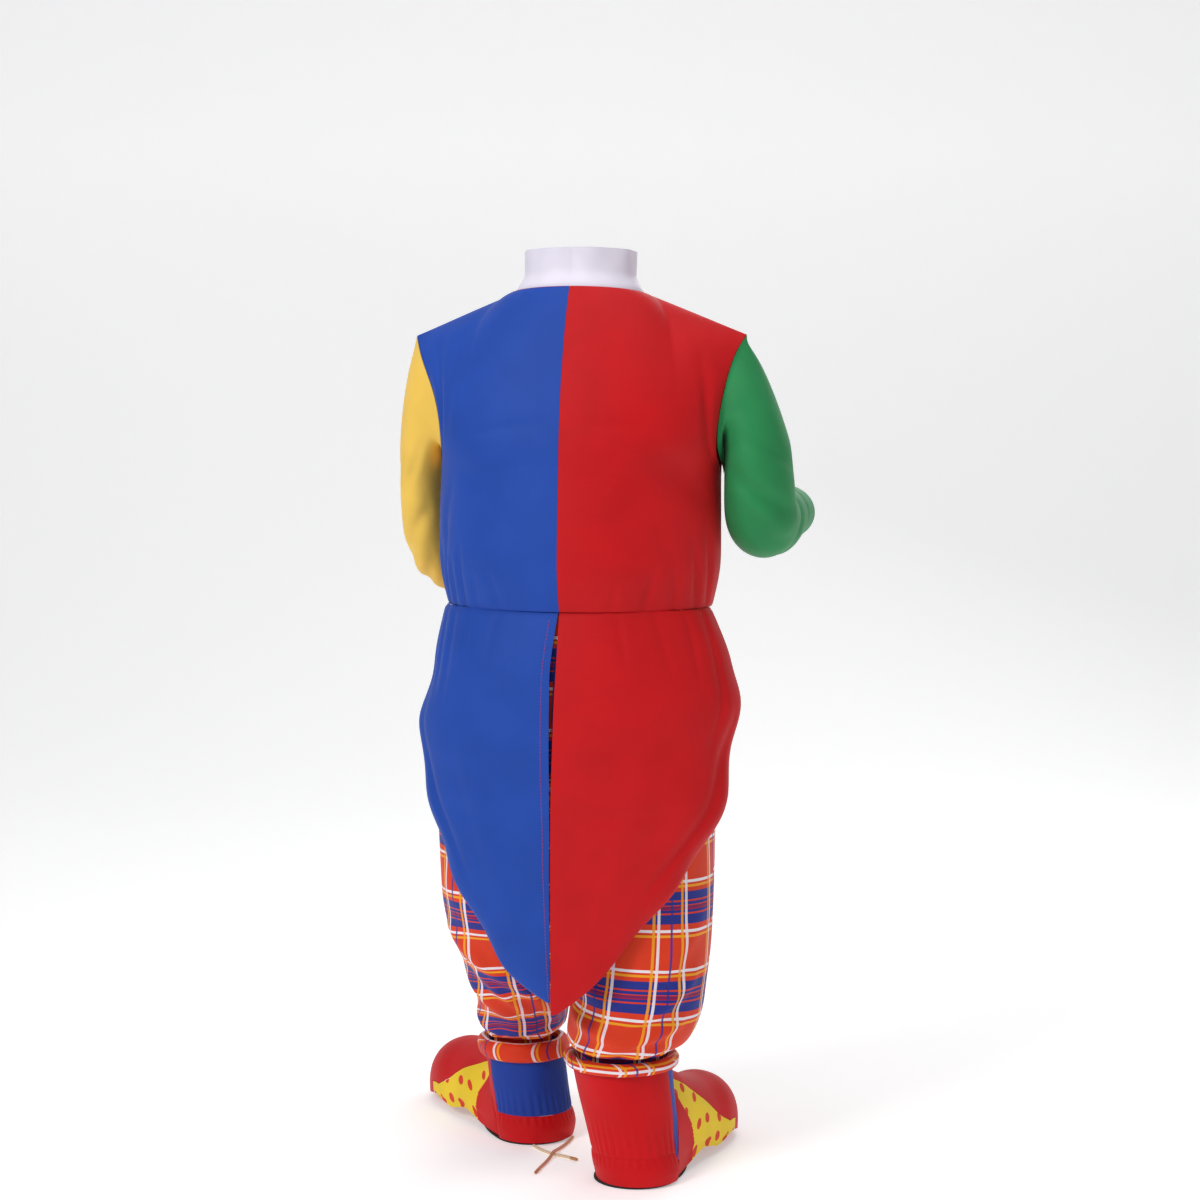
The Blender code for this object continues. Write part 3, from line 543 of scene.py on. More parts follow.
def collar_surface(inset):
    def surface(u, v):
        turn = COLLAR_LAP - (2 * pi + COLLAR_LAP) * u
        face = 1 if cos(turn) > 0 else -1
        edge = neck_edge(abs(turn), face)
        edge.x = -NECK_X * sin(turn)
        edge.y = (NECK_BACK if face > 0 else NECK_FRONT) * cos(turn)
        outward = Vector((edge.x, edge.y, 0)).normalized()
        lean = COLLAR_LEAN * smooth(0, 0.45, v)
        lap = (THIN_WALL + 3 * GAP) * (1 - u)
        reach = COLLAR_SEAT + lean + lap + inset
        base = edge.z - COLLAR_DROP
        top = mix(base, NECK_SIDE_HEIGHT + COLLAR_HEIGHT + COLLAR_TILT * cos(turn), v)
        sway = COLLAR_SWAY * sin(9 * turn + 1.3) * smooth(0.3, 1, v)
        top -= COLLAR_CORNER * v * exp(-((turn - COLLAR_LAP) / COLLAR_CORNER_TURN) ** 2)
        return at(edge.x, edge.y, top) - outward * (reach + sway)
    return surface


white_cloth = woven("White polyester", "E6E0EE", roughness=0.5, weave=0.06)
collar = lay_wall("collar", collar_surface(0), collar_surface(COLLAR_SHELL), 160, 14, white_cloth)
cut(collar, "white_cloth", "collar", (0.47, 0.055), 0.023)


# Swallow tails: one blue, one red, hung from the waist seam, their outer edges slightly rippled
# Height, centre edge x, outer edge x, outer edge y, centre edge y
LEFT_TAIL = (
    (0.6935, 0.0012, 0.162, 0.012, 0.118),
    (0.635, 0.0080, 0.172, 0.020, 0.129),
    (0.585, 0.0088, 0.183, 0.024, 0.133),
    (0.540, 0.0090, 0.190, 0.028, 0.134),
    (0.485, 0.0090, 0.179, 0.045, 0.133),
    (0.435, 0.0090, 0.160, 0.069, 0.131),
    (0.390, 0.0100, 0.141, 0.086, 0.129),
    (0.340, 0.0100, 0.112, 0.098, 0.127),
    (0.290, 0.0100, 0.081, 0.104, 0.126),
    (0.255, 0.0100, 0.049, 0.112, 0.125),
    (0.236, 0.0100, 0.017, 0.118, 0.124),
)
RIGHT_TAIL = (
    (0.6935, 0.0003, 0.162, 0.012, 0.118),
    (0.635, -0.0010, 0.186, 0.020, 0.129),
    (0.590, -0.0030, 0.199, 0.026, 0.133),
    (0.535, -0.0050, 0.190, 0.036, 0.134),
    (0.475, -0.0070, 0.188, 0.050, 0.133),
    (0.425, -0.0080, 0.166, 0.064, 0.131),
    (0.385, -0.0085, 0.142, 0.080, 0.130),
    (0.345, -0.0085, 0.114, 0.094, 0.129),
    (0.300, -0.0085, 0.076, 0.107, 0.128),
    (0.250, -0.0085, 0.034, 0.118, 0.127),
    (0.222, -0.0085, -0.002, 0.124, 0.126),
)
LEFT_TAIL_FOLDS = (
    (0.30, 0.00, 0.34, 0.10, 0.022, 0.0016),
    (0.50, 0.00, 0.47, 0.12, 0.020, 0.0016),
    (0.64, 0.00, 0.60, 0.18, 0.026, 0.0022),
    (0.76, 0.00, 0.70, 0.16, 0.022, 0.0022),
    (0.88, 0.00, 0.79, 0.26, 0.030, 0.0026),
    (0.86, 0.20, 0.62, 0.58, 0.045, 0.0050),
    (0.40, 0.24, 0.34, 0.64, 0.060, -0.0030),
    (0.20, 0.46, 0.60, 0.45, 0.012, 0.0008),
)
RIGHT_TAIL_FOLDS = (
    (0.26, 0.00, 0.28, 0.09, 0.020, 0.0014),
    (0.46, 0.00, 0.48, 0.14, 0.024, 0.0018),
    (0.66, 0.00, 0.62, 0.15, 0.024, 0.0020),
    (0.82, 0.00, 0.72, 0.30, 0.030, 0.0030),
    (0.90, 0.26, 0.60, 0.62, 0.045, 0.0050),
    (0.40, 0.26, 0.30, 0.68, 0.060, -0.0030),
    (0.16, 0.44, 0.56, 0.43, 0.012, 0.0008),
)
EDGE_WAVE = 0.0022
EDGE_WAVES = 5
SEAM_DIP = 0.0012
SEAM_FADE = 0.012
TUCK = 0.0030
TUCK_SHARE = 0.008


def tail_base(side, rows):
    def surface(u, v):
        height, centre_x, outer_x, outer_y, centre_y = spline(rows, v)
        turn = u * pi / 2
        edge = smooth(0.5, 1, u) * smooth(0, 0.15, v) * smooth(0, 0.2, 1 - v)
        ripple = EDGE_WAVE * edge * sin(2 * pi * EDGE_WAVES * v)
        x = mix(centre_x, outer_x, sin(turn)) + ripple
        y = mix(outer_y, centre_y, cos(turn)) + ripple
        return at(side * x, y, height - 3 * GAP * (1 - v))
    return surface


def sunk(base, folds, out, inset=0.0, tuck=0.0):
    """A surface with its folds pressed in and moved in by inset. out is its normal's sign.

    Its top edge is tucked up and in by tuck, under the seam above it.
    """
    def surface(u, v):
        share = max(0, 1 - v / TUCK_SHARE)
        dip = SEAM_DIP * exp(-v / SEAM_FADE) * (tuck > 0)
        sink = fold_depth(folds, u, v) + inset + tuck * share + dip
        return base(u, v) - out * sink * normal(base, u, v) + Vector((0, 0, tuck * share))
    return surface


TAILS = (
    ("tail_left", 1, LEFT_TAIL, LEFT_TAIL_FOLDS, blue_cloth, "blue_cloth"),
    ("tail_right", -1, RIGHT_TAIL, RIGHT_TAIL_FOLDS, red_cloth, "red_cloth"),
)
for name, side, rows, folds, material, slot in TAILS:
    base = tail_base(side, rows)
    outer = sunk(base, folds, side, 0, TUCK)
    inner = sunk(base, folds, side, SHELL, TUCK)
    piece = lay_wall(name, outer, inner, 64, 124, material)
    cut(piece, slot, name, (0.24, 0.50), 0.080)

# Thread: short raised stitches, magenta-red along the blue cloth's edges
STITCH_LONG = 0.0026
STITCH_GAP = 0.0012
STITCH_WIDE = 0.0007
STITCH_RAISE = 0.0004
STITCH_STEPS = 1200


def thread(name, colour):
    """Twisted polyester thread, a little shinier than the cloth."""
    return coat(name, 0.45, colour)[0]


def stitch_line(name, surface, out, route, material):
    """Stitches along a route (u, v) = route(t) on a surface whose outward side is out."""
    bm = bmesh.new()
    travelled = 0
    last = surface(*route(0))
    next_stitch = STITCH_GAP
    for i in range(1, STITCH_STEPS + 1):
        u, v = route(i / STITCH_STEPS)
        point = surface(u, v)
        travelled += (point - last).length
        if travelled >= next_stitch and (point - last).length > 0:
            along = (point - last).normalized()
            up = out * normal(surface, u, v)
            across = up.cross(along).normalized()
            corners = []
            for x, y in ((-1, -1), (1, -1), (1, 1), (-1, 1)):
                reach = along * x * STITCH_LONG / 2 + across * y * STITCH_WIDE / 2
                corners.append(bm.verts.new(point + reach + up * 0.0001))
                corners.append(bm.verts.new(point + reach * 0.6 + up * STITCH_RAISE))
            low = corners[0::2]
            high = corners[1::2]
            bm.faces.new(high)
            bm.faces.new(low[::-1])
            for k in range(4):
                m = (k + 1) % 4
                bm.faces.new((low[k], low[m], high[m], high[k]))
            next_stitch = travelled + STITCH_LONG + STITCH_GAP
        last = point
    piece = set_down(name, bm, material)
    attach(piece, "root")


magenta_thread = thread("Magenta thread", "B01A4C")
blue_back = bodice_surface(BACK_ROWS, BACK_LEFT_FOLDS, 1, 1, 0)
blue_tail = sunk(tail_base(1, LEFT_TAIL), LEFT_TAIL_FOLDS, 1)
STITCHES = (
    ("neckline_stitches", blue_back, -1, lambda t: (mix(0.02, 0.54, t), 0.978)),
    ("tail_outer_stitches", blue_tail, 1, lambda t: (0.965, mix(0.02, 0.985, t))),
    ("tail_centre_stitches", blue_tail, 1, lambda t: (0.035 + 0.25 * max(0, t - 0.9), mix(0.02, 0.96, t))),
)
for name, surface, out, route in STITCHES:
    stitch_line(name, surface, out, route, magenta_thread)


# Trouser legs: printed plaid, a back and a front panel each, bloused over the shoe covers.
# Plaid lines in mm. Down the cloth: width, colour. Across it: start, width, colour
ORANGE_RED = "DC3A1A"
NAVY = "25308A"
PLAID_ORANGE = "F2A01E"
PLAID_WHITE = "EFE6EC"
PLAID_PURPLE = "7A1F5A"
PLAID_CRIMSON = "B01030"
DOWN_BANDS = (
    (10, NAVY), (2.2, ORANGE_RED), (3.6, NAVY), (1.2, ORANGE_RED), (3.4, PLAID_PURPLE), (1.2, PLAID_CRIMSON),
    (3.6, NAVY), (2.2, ORANGE_RED), (11, NAVY), (7, ORANGE_RED), (3.4, PLAID_WHITE), (3, ORANGE_RED),
    (3, PLAID_ORANGE), (39, ORANGE_RED), (3.4, PLAID_WHITE), (2.6, ORANGE_RED), (3, PLAID_ORANGE),
    (5.2, ORANGE_RED),
)
ACROSS_REPEAT = 88
PRINT_COVER = 0.88
ACROSS_LINES = (
    (0.6, 2.6, NAVY), (14.4, 3.4, PLAID_ORANGE), (20.2, 3.6, PLAID_WHITE),
    (66.2, 3.4, PLAID_ORANGE), (72.0, 3.6, PLAID_WHITE),
)


def stripes(tree, place, axis, repeat, stops):
    """A ramp of hard-edged stripes along one axis of the cloth. stops: start in mm, RGBA."""
    split = node(tree, "ShaderNodeSeparateXYZ", Vector=(place, "UV"))
    turns = node(tree, "ShaderNodeMath", {"operation": "MULTIPLY"}, _0=(split, axis), _1=1000 / repeat)
    share = node(tree, "ShaderNodeMath", {"operation": "FRACT"}, _0=(turns, "Value"))
    ramp = node(tree, "ShaderNodeValToRGB", Fac=(share, "Value"))
    ramp.color_ramp.interpolation = "CONSTANT"
    for i, (start, colour) in enumerate(stops):
        stop = ramp.color_ramp.elements[0] if i == 0 else ramp.color_ramp.elements.new(start / repeat)
        stop.position = start / repeat
        stop.color = colour
    ramp.color_ramp.elements.remove(ramp.color_ramp.elements[-1])
    return ramp


def plaid(tree, place):
    """Printed plaid: bands down the cloth with thinner lines printed over them."""
    down = []
    start = 0
    for width, colour in DOWN_BANDS:
        down.append((start, shade(colour)))
        start += width
    bands = stripes(tree, place, "Y", start, down)
    across = [(0, (0, 0, 0, 0))]
    for start, width, colour in ACROSS_LINES:
        if across[-1][0] == start:
            across.pop()
        across.append((start, shade(colour)))
        across.append((start + width, (0, 0, 0, 0)))
    lines = stripes(tree, place, "X", ACROSS_REPEAT, across)
    cover = node(tree, "ShaderNodeMath", {"operation": "MULTIPLY"}, _0=(lines, "Alpha"), _1=PRINT_COVER)
    printed = node(tree, "ShaderNodeMix", {"data_type": "RGBA"}, _0=(cover, "Value"),
                   _6=(bands, "Color"), _7=(lines, "Color"))
    return printed, 2


plaid_cloth = woven("Printed plaid polyester", tree_colour=plaid)

# Shoe covers: heel centre x and y, heel radius, turn-out, rim centre x and y, rim radius,
# rim height, height of the instep's top edge
LEFT_SHOE = (0.090, -0.129, 0.049, radians(40), 0.103, -0.132, 0.048, 0.126, 0.100)
RIGHT_SHOE = (0.072, 0.017, 0.052, radians(14), 0.052, 0.010, 0.060, 0.150, 0.128)


def rim_row(shoe):
    """The last row of a trouser leg, which meets the top edge of its shoe cover."""
    x, y, radius, rim = shoe[4:8]
    return (rim + GAP, x + radius, y, x - radius, y + radius, y - radius, 180)


CROTCH_HEIGHT = 0.40
LEG_TUCK = 0.0060
LEG_END = 0.96
LEG_TURN_START = 0.93
LEG_TURN_IN = 0.0125
LEG_LIFT = 0.004
LEG_DROP = 0.020
# Height, outer x, outer y, inner x, back y, front y, turn from the side seam to the inner edge
LEFT_LEG = (
    (0.6928, 0.157, 0.000, 0.0000, 0.1135, -0.100, 90),
    (0.640, 0.167, 0.000, 0.0000, 0.1180, -0.106, 90),
    (0.580, 0.172, 0.000, 0.0000, 0.1190, -0.110, 90),
    (0.520, 0.173, 0.000, 0.0000, 0.1180, -0.110, 96),
    (0.470, 0.173, -0.002, 0.0000, 0.1120, -0.108, 135),
    (0.430, 0.172, -0.004, 0.0000, 0.1040, -0.108, 180),
    (0.380, 0.172, -0.010, 0.0060, 0.0920, -0.112, 180),
    (0.330, 0.172, -0.022, 0.0120, 0.0780, -0.122, 180),
    (0.285, 0.168, -0.045, 0.0200, 0.0550, -0.145, 180),
    (0.240, 0.156, -0.075, 0.0300, 0.0250, -0.170, 180),
    (0.195, 0.151, -0.105, 0.0380, -0.0150, -0.190, 180),
    (0.155, 0.156, -0.125, 0.0460, -0.0600, -0.192, 180),
    rim_row(LEFT_SHOE),
)
RIGHT_LEG = (
    (0.6928, 0.157, 0.000, 0.0000, 0.1135, -0.100, 90),
    (0.640, 0.167, 0.000, 0.0000, 0.1180, -0.106, 90),
    (0.580, 0.171, 0.000, 0.0000, 0.1190, -0.110, 90),
    (0.520, 0.169, 0.000, 0.0000, 0.1180, -0.110, 96),
    (0.470, 0.166, 0.000, 0.0000, 0.1120, -0.106, 135),
    (0.430, 0.163, 0.000, 0.0000, 0.1040, -0.100, 180),
    (0.380, 0.162, 0.000, 0.0020, 0.0960, -0.094, 180),
    (0.330, 0.161, 0.002, 0.0010, 0.0920, -0.088, 180),
    (0.285, 0.159, 0.004, -0.0010, 0.0900, -0.080, 180),
    (0.240, 0.154, 0.006, -0.0040, 0.0880, -0.074, 180),
    (0.205, 0.149, 0.008, -0.0090, 0.0880, -0.070, 180),
    (0.175, 0.136, 0.010, -0.0120, 0.0840, -0.064, 180),
    rim_row(RIGHT_SHOE),
)
LEFT_LEG_FOLDS = (
    (0.20, 0.64, 0.62, 0.78, 0.026, 0.0090),
    (0.15, 0.76, 0.55, 0.87, 0.024, 0.0080),
    (0.30, 0.72, 0.66, 0.86, 0.022, 0.0060),
    (0.50, 0.70, 0.86, 0.90, 0.028, 0.0080),
    (0.16, 0.88, 0.42, 0.94, 0.020, 0.0060),
    (0.40, 0.94, 0.74, 0.91, 0.020, 0.0060),
    (0.60, 0.97, 0.84, 0.95, 0.016, 0.0040),
    (0.20, 0.965, 0.36, 0.975, 0.014, 0.0040),
    (0.18, 0.52, 0.50, 0.60, 0.040, 0.0040),
    (0.60, 0.50, 0.84, 0.62, 0.035, 0.0050),
)
RIGHT_LEG_FOLDS = (
    (0.16, 0.72, 0.48, 0.84, 0.026, 0.0070),
    (0.20, 0.84, 0.52, 0.91, 0.022, 0.0065),
    (0.45, 0.90, 0.82, 0.83, 0.024, 0.0070),
    (0.56, 0.78, 0.84, 0.72, 0.028, 0.0055),
    (0.25, 0.93, 0.45, 0.965, 0.018, 0.0050),
    (0.50, 0.965, 0.80, 0.93, 0.018, 0.0050),
    (0.14, 0.60, 0.36, 0.70, 0.035, 0.0045),
    (0.60, 0.58, 0.82, 0.74, 0.035, 0.0050),
    (0.15, 0.965, 0.26, 0.975, 0.014, 0.0036),
)
FRONT_LEG_FOLDS = (
    (0.20, 0.68, 0.60, 0.79, 0.026, 0.0070),
    (0.25, 0.80, 0.55, 0.88, 0.024, 0.0060),
    (0.40, 0.91, 0.80, 0.84, 0.026, 0.0070),
    (0.30, 0.95, 0.60, 0.96, 0.018, 0.0050),
    (0.62, 0.34, 0.86, 0.29, 0.030, 0.0050),
    (0.56, 0.40, 0.84, 0.36, 0.030, 0.0050),
    (0.50, 0.56, 0.80, 0.62, 0.040, 0.0050),
)


def leg_base(side, rows, face):
    def surface(u, v):
        height, outer_x, outer_y, inner_x, back_y, front_y, turn = spline(rows, v)
        turn = radians(min(turn, 180))
        if height > CROTCH_HEIGHT:
            inner_x = max(inner_x, 0)
        reach_y = back_y if face > 0 else front_y
        half = (outer_x - inner_x) / (1 - cos(turn))
        angle = u * turn
        x = outer_x - half + half * cos(angle) + HALF_GAP
        y = outer_y + (reach_y - outer_y) * sin(angle) + face * HALF_GAP
        return at(side * x, y, height)
    return surface


def leg_surface(side, rows, folds, face, rim, inset):
    """A leg panel's face towards the leg, or its outer face where inset is the wall.

    The panels are laid from the side seam inwards, so here a fold's depth raises the cloth.
    """
    base = leg_base(side, rows, face)
    out = side * face

    def surface(u, v):
        share = max(0, 1 - v / TUCK_SHARE)
        sink = fold_depth(folds, u, v) + inset - LEG_TUCK * share
        point = base(u, v) - out * sink * normal(base, u, v)
        point.z += TUCK * share
        height, _, outer_y, inner_x = spline(rows, v)[:4]
        if height > CROTCH_HEIGHT:
            inner_x = max(inner_x, 0)
        point.x = side * max(side * point.x, inner_x + HALF_GAP)
        point.y = outer_y + face * max(face * (point.y - outer_y), HALF_GAP)
        point.z = max(point.z, rim + GAP - NECK_HEIGHT)
        return point
    return surface


def leg_end(surface, side, shoe, inset):
    """A leg panel whose end turns in over the shoe cover's rim and hangs down inside it."""
    centre = at(side * shoe[4], shoe[5], shoe[7])

    def ended(u, v):
        share = min(1, v / LEG_END)
        point = surface(u, share)
        turned = smooth(LEG_TURN_START, 1, share)
        away = Vector((point.x - centre.x, point.y - centre.y, 0))
        point -= away.normalized() * LEG_TURN_IN * turned
        down = max(0, v - LEG_END) / (1 - LEG_END)
        point.z += LEG_LIFT * turned - (LEG_LIFT + LEG_DROP) * down
        point += away.normalized() * inset * down * 0.2
        return point
    return ended


LEGS = (
    ("leg_left_back", 1, LEFT_LEG, LEFT_LEG_FOLDS, 1, LEFT_SHOE, (0.31, 0.66), 0.154, (0.056, -0.046)),
    ("leg_left_front", 1, LEFT_LEG, FRONT_LEG_FOLDS, -1, LEFT_SHOE, (0.30, 0.64), 0.146, (0.048, -0.040)),
    ("leg_right_back", -1, RIGHT_LEG, RIGHT_LEG_FOLDS, 1, RIGHT_SHOE, (0.30, 0.62), 0.141, (0.042, -0.021)),
    ("leg_right_front", -1, RIGHT_LEG, FRONT_LEG_FOLDS, -1, RIGHT_SHOE, (0.29, 0.62), 0.139, (0.036, -0.016)),
)
for name, side, rows, folds, face, shoe, size, area, origin in LEGS:
    lower = leg_end(leg_surface(side, rows, folds, face, shoe[7], 0), side, shoe, 0)
    upper = leg_end(leg_surface(side, rows, folds, face, shoe[7], SHELL), side, shoe, SHELL)
    piece = lay_wall(name, lower, upper, 66, 156, plaid_cloth, grain=0.5, origin=origin, turned=side * face)
    cut(piece, "plaid_cloth", name, size, area)


# Shoe covers: a shaft in two colours, a red heel band and toe, and yellow dotted side panels
# whose lower hem is rolled under; a thin dark sole below the heel
SOLE = 0.003
HEEL_TOP = 0.037
SOLE_FRONT = 0.104
SOLE_INSET = 0.0012

# Forefoot: distance ahead at the side, extra at the top, half width, top height, edge height
FOREFOOT = (
    (0.000, 0.0510, 0.0510, 0.116, 0.005),
    (0.042, 0.0440, 0.0500, 0.103, 0.008),
    (0.087, 0.0350, 0.0520, 0.093, 0.018),
    (0.130, 0.0260, 0.0540, 0.088, 0.010),
    (0.172, 0.0200, 0.0540, 0.084, 0.016),
    (0.207, 0.0160, 0.0470, 0.070, 0.010),
    (0.234, 0.0110, 0.0310, 0.046, 0.006),
    (0.248, 0.0030, 0.0080, 0.020, 0.004),
)
SIDE_PANEL_TURN = radians(74)
SIDE_PANEL_END = 0.62
SIDE_PANEL_LEAST = 0.13
FRONT_CLEAR = 0.0016
SEAM_TURN = 0.003
DOT_ACROSS = 0.0125
DOT_APART = 0.030
HEM_SWELL = 0.0016
WING_REACH = 0.30
SEAM_PUCKER = 0.0007
SHAFT_SLACK = 0.0012
HEEL_SWELL = 0.003


def foot_point(side, shoe, ahead, outward, height):
    """A point from distances ahead of the heel's centre and outward from it."""
    x, y, _, turn_out = shoe[:4]
    return at(side * (x + ahead * sin(turn_out) + outward * cos(turn_out)),
              y - ahead * cos(turn_out) + outward * sin(turn_out), height)


def shaft_point(side, shoe, turn, height, swell=0):
    """A point of the shaft. turn is 0 at its outer side and a quarter circle ahead."""
    heel_x, heel_y, heel_radius, turn_out, rim_x, rim_y, rim_radius, rim = shoe[:8]
    share = (height - HEEL_TOP) / (rim - HEEL_TOP)
    share = max(-0.2, share)
    radius = mix(heel_radius, rim_radius, share) + swell
    x = mix(heel_x, rim_x, share)
    y = mix(heel_y, rim_y, share)
    angle = turn_out - turn
    return at(side * (x + radius * cos(angle)), y + radius * sin(angle), height)


def pucker(turn, v, count):
    """Small gathers beside a seam at v = 0 that fade up the cloth."""
    near = (1 - smooth(0.04, 0.5, v)) * smooth(0, 0.04, v)
    return SEAM_PUCKER * sin(count * turn + 2 * sin(3 * turn)) * near


def shaft_back(side, shoe):
    rim = shoe[7]

    def surface(u, v):
        turn = mix(-SEAM_TURN, SEAM_TURN - pi, u)
        slack = SHAFT_SLACK * sin(5 * turn + 3 * v) * sin(pi * min(1, max(0, v)))
        swell = pucker(turn, v, 34) + slack
        return shaft_point(side, shoe, turn, mix(HEEL_TOP + GAP, rim, v), swell)
    return surface


def front_edge(shoe, turn):
    """Height at which the forefoot meets the shaft."""
    return mix(FOREFOOT[0][4], shoe[8], max(0, sin(turn)) ** 0.8)


def shaft_front(side, shoe):
    rim = shoe[7]

    def surface(u, v):
        turn = mix(SEAM_TURN, pi - SEAM_TURN, u)
        start = front_edge(shoe, turn) + FRONT_CLEAR
        return shaft_point(side, shoe, turn, mix(start, rim, v), pucker(turn, v, 30))
    return surface


def heel_band(side, shoe):
    def surface(u, v):
        turn = mix(-SEAM_TURN, SEAM_TURN - pi, u)
        swell = HEEL_SWELL * sin(pi * min(1, max(0, v))) + pucker(turn, 1 - v, 38)
        return shaft_point(side, shoe, turn, mix(SOLE + GAP, HEEL_TOP, v), swell)
    return surface


def forefoot(side, shoe):
    """The forefoot, by the angle over the foot and the share of its length ahead."""
    def surface(turn, v):
        ahead, bulge, half_width, top, edge = spline(FOREFOOT, v)
        top += (shoe[8] - FOREFOOT[0][3]) * (1 - smooth(0, 0.5, v))
        rise = mix(edge, top, max(0, sin(turn)) ** 0.8)
        ahead += bulge * sin(turn)
        free = foot_point(side, shoe, ahead, half_width * cos(turn), rise)
        seated = shaft_point(side, shoe, turn, rise, FRONT_CLEAR / 2)
        return seated.lerp(free, smooth(0, 0.16, v))
    return surface


def panel_turn(v):
    """Angle at which the dotted side panel meets the toe piece."""
    if v > SIDE_PANEL_END + STEP * 2:
        return 0
    share = max(0, v) / SIDE_PANEL_END
    return SIDE_PANEL_TURN * max(SIDE_PANEL_LEAST, 1 - share)


def toe_piece(side, shoe):
    form = forefoot(side, shoe)

    def surface(u, v):
        start = panel_turn(v) + 2 * SEAM_TURN
        return form(mix(start, pi - start, u), v)
    return surface


def side_panel(side, shoe, inner_side):
    form = forefoot(side, shoe)

    def surface(u, v):
        along = v * SIDE_PANEL_END
        turn = mix(SEAM_TURN, panel_turn(along) - 2 * SEAM_TURN, u)
        return form(pi - turn if inner_side else turn, along)
    return surface


def heel_wing(u, v):
    """Where the red heel piece reaches forward over the foot's side."""
    return v < WING_REACH * (1 - smooth(0.1, 1.15, u))


def rolled(base, out, inset=0.0):
    """A side panel with its lower hem rolled under into a soft ridge."""
    def surface(u, v):
        ridge = sqrt(max(0, 1 - ((u - 0.06) / 0.07) ** 2))
        wave = 0.7 + 0.3 * sin(26 * v + 1)
        raised = HEM_SWELL * ridge * wave - inset
        return base(u, v) + out * raised * normal(base, u, v)
    return surface


def dots(tree, place):
    """Yellow cloth printed with orange-red dots."""
    spots = node(tree, "ShaderNodeTexVoronoi", {"voronoi_dimensions": "2D"}, Vector=(place, "UV"),
                 Scale=1 / DOT_APART, Randomness=0.45)
    edge = node(tree, "ShaderNodeMath", {"operation": "LESS_THAN"}, _0=(spots, "Distance"),
                _1=DOT_ACROSS / 2 / DOT_APART)
    printed = node(tree, "ShaderNodeMix", {"data_type": "RGBA"}, _0=(edge, "Value"))
    printed.inputs[6].default_value = shade("F2CF2B")
    printed.inputs[7].default_value = shade("DD3A1B")
    return printed, 2


dotted_cloth = woven("Printed dotted polyester", tree_colour=dots)
boot_red = woven("Red shoe cover cloth", "CB0710")
boot_blue = woven("Blue shoe cover cloth", "1D3F9E")
red = (boot_red, "red_cloth")
blue = (boot_blue, "blue_cloth")
dotted = (dotted_cloth, "dotted_cloth")
SHOES = (("left", 1, LEFT_SHOE, blue, red, 0.0085), ("right", -1, RIGHT_SHOE, red, blue, 0.0125))
# Name, surface, outward side, cloth, grid, flat size, cut area
for label, side, shoe, behind, ahead, front_area in SHOES:
    tall = shoe[7] - HEEL_TOP
    parts = (
        ("shaft_back", shaft_back(side, shoe), -side, behind, (120, 30), (0.175, tall + 0.01), 0.165 * tall),
        ("shaft_front", shaft_front(side, shoe), side, ahead, (96, 24), (0.18, tall), front_area),
        ("heel", heel_band(side, shoe), -side, red, (120, 12), (0.165, 0.038), 0.0056),
        ("toe", toe_piece(side, shoe), -side, red, (64, 96), (0.15, 0.30), 0.0225),
        ("side_outer", side_panel(side, shoe, False), -side, dotted, (40, 96), (0.09, 0.24), 0.0128),
        ("side_inner", side_panel(side, shoe, True), side, dotted, (40, 96), (0.09, 0.24), 0.0128),
    )
    for part_name, base, out, (material, slot), grid, size, area in parts:
        name = f"shoe_{label}_{part_name}"
        if slot == "dotted_cloth":
            wing = (boot_red, heel_wing)
            piece = lay_wall(name, rolled(base, out), rolled(base, out, SHELL), *grid, material, second=wing)
        else:
            piece = lay_wall(name, base, sunk(base, (), out, SHELL), *grid, material)
        cut(piece, slot, name, size, area)

# Soles: dark felt under the heel, cut round behind and drawn out under the instep
felt = coat("Dark felt", 0.9, "2A2424")[0]
for label, side, shoe in (("left", 1, LEFT_SHOE), ("right", -1, RIGHT_SHOE)):
    bm = bmesh.new()
    bmesh.ops.create_circle(bm, cap_ends=True, segments=72, radius=1)
    heel = shoe[2] - SOLE_INSET
    for vert in bm.verts:
        ahead = vert.co.y * (heel if vert.co.y < 0 else SOLE_FRONT)
        vert.co = foot_point(side, shoe, ahead, vert.co.x * heel, 0)
    raised = bmesh.ops.extrude_face_region(bm, geom=bm.faces[:], use_keep_orig=True)
    for item in raised["geom"]:
        if isinstance(item, bmesh.types.BMVert):
            item.co.z += SOLE
    bmesh.ops.recalc_face_normals(bm, faces=bm.faces[:])
    rim_edges = [edge for edge in bm.edges if edge.calc_face_angle(0) > radians(60)]
    bmesh.ops.bevel(bm, geom=rim_edges, offset=0.0006, segments=2, profile=0.5, affect="EDGES", material=-1)
    name = f"shoe_{label}_sole"
    piece = set_down(name, bm, felt)
    piece.data.shade_smooth()
    piece.data.set_sharp_from_angle(angle=radians(40))
    cut(piece, "sole_felt", name, (0.175, 0.112), 0.0165)

# Rolled trouser hems: the plaid legs' ends turned up over the rims
ROLL_PROFILE = (
    (0.0030, -1.00), (0.0085, -0.84), (0.0105, -0.40), (0.0085, -0.05), (0.0035, 0.16),
    (-0.0015, 0.10), (-0.0035, -0.30), (-0.0035, -1.20),
)
LEFT_ROLL = 0.021
RIGHT_ROLL = 0.013
ROLL_WAVE = 0.0009


def roll_surface(side, shoe, depth):
    rim = shoe[7]

    def surface(u, v):
        out, drop = spline(ROLL_PROFILE, v)
        out += ROLL_WAVE * sin(2 * pi * 7 * u) * sin(pi * min(1, max(0, v)))
        return shaft_point(side, shoe, -2 * pi * u, rim + depth * drop, out)
    return surface


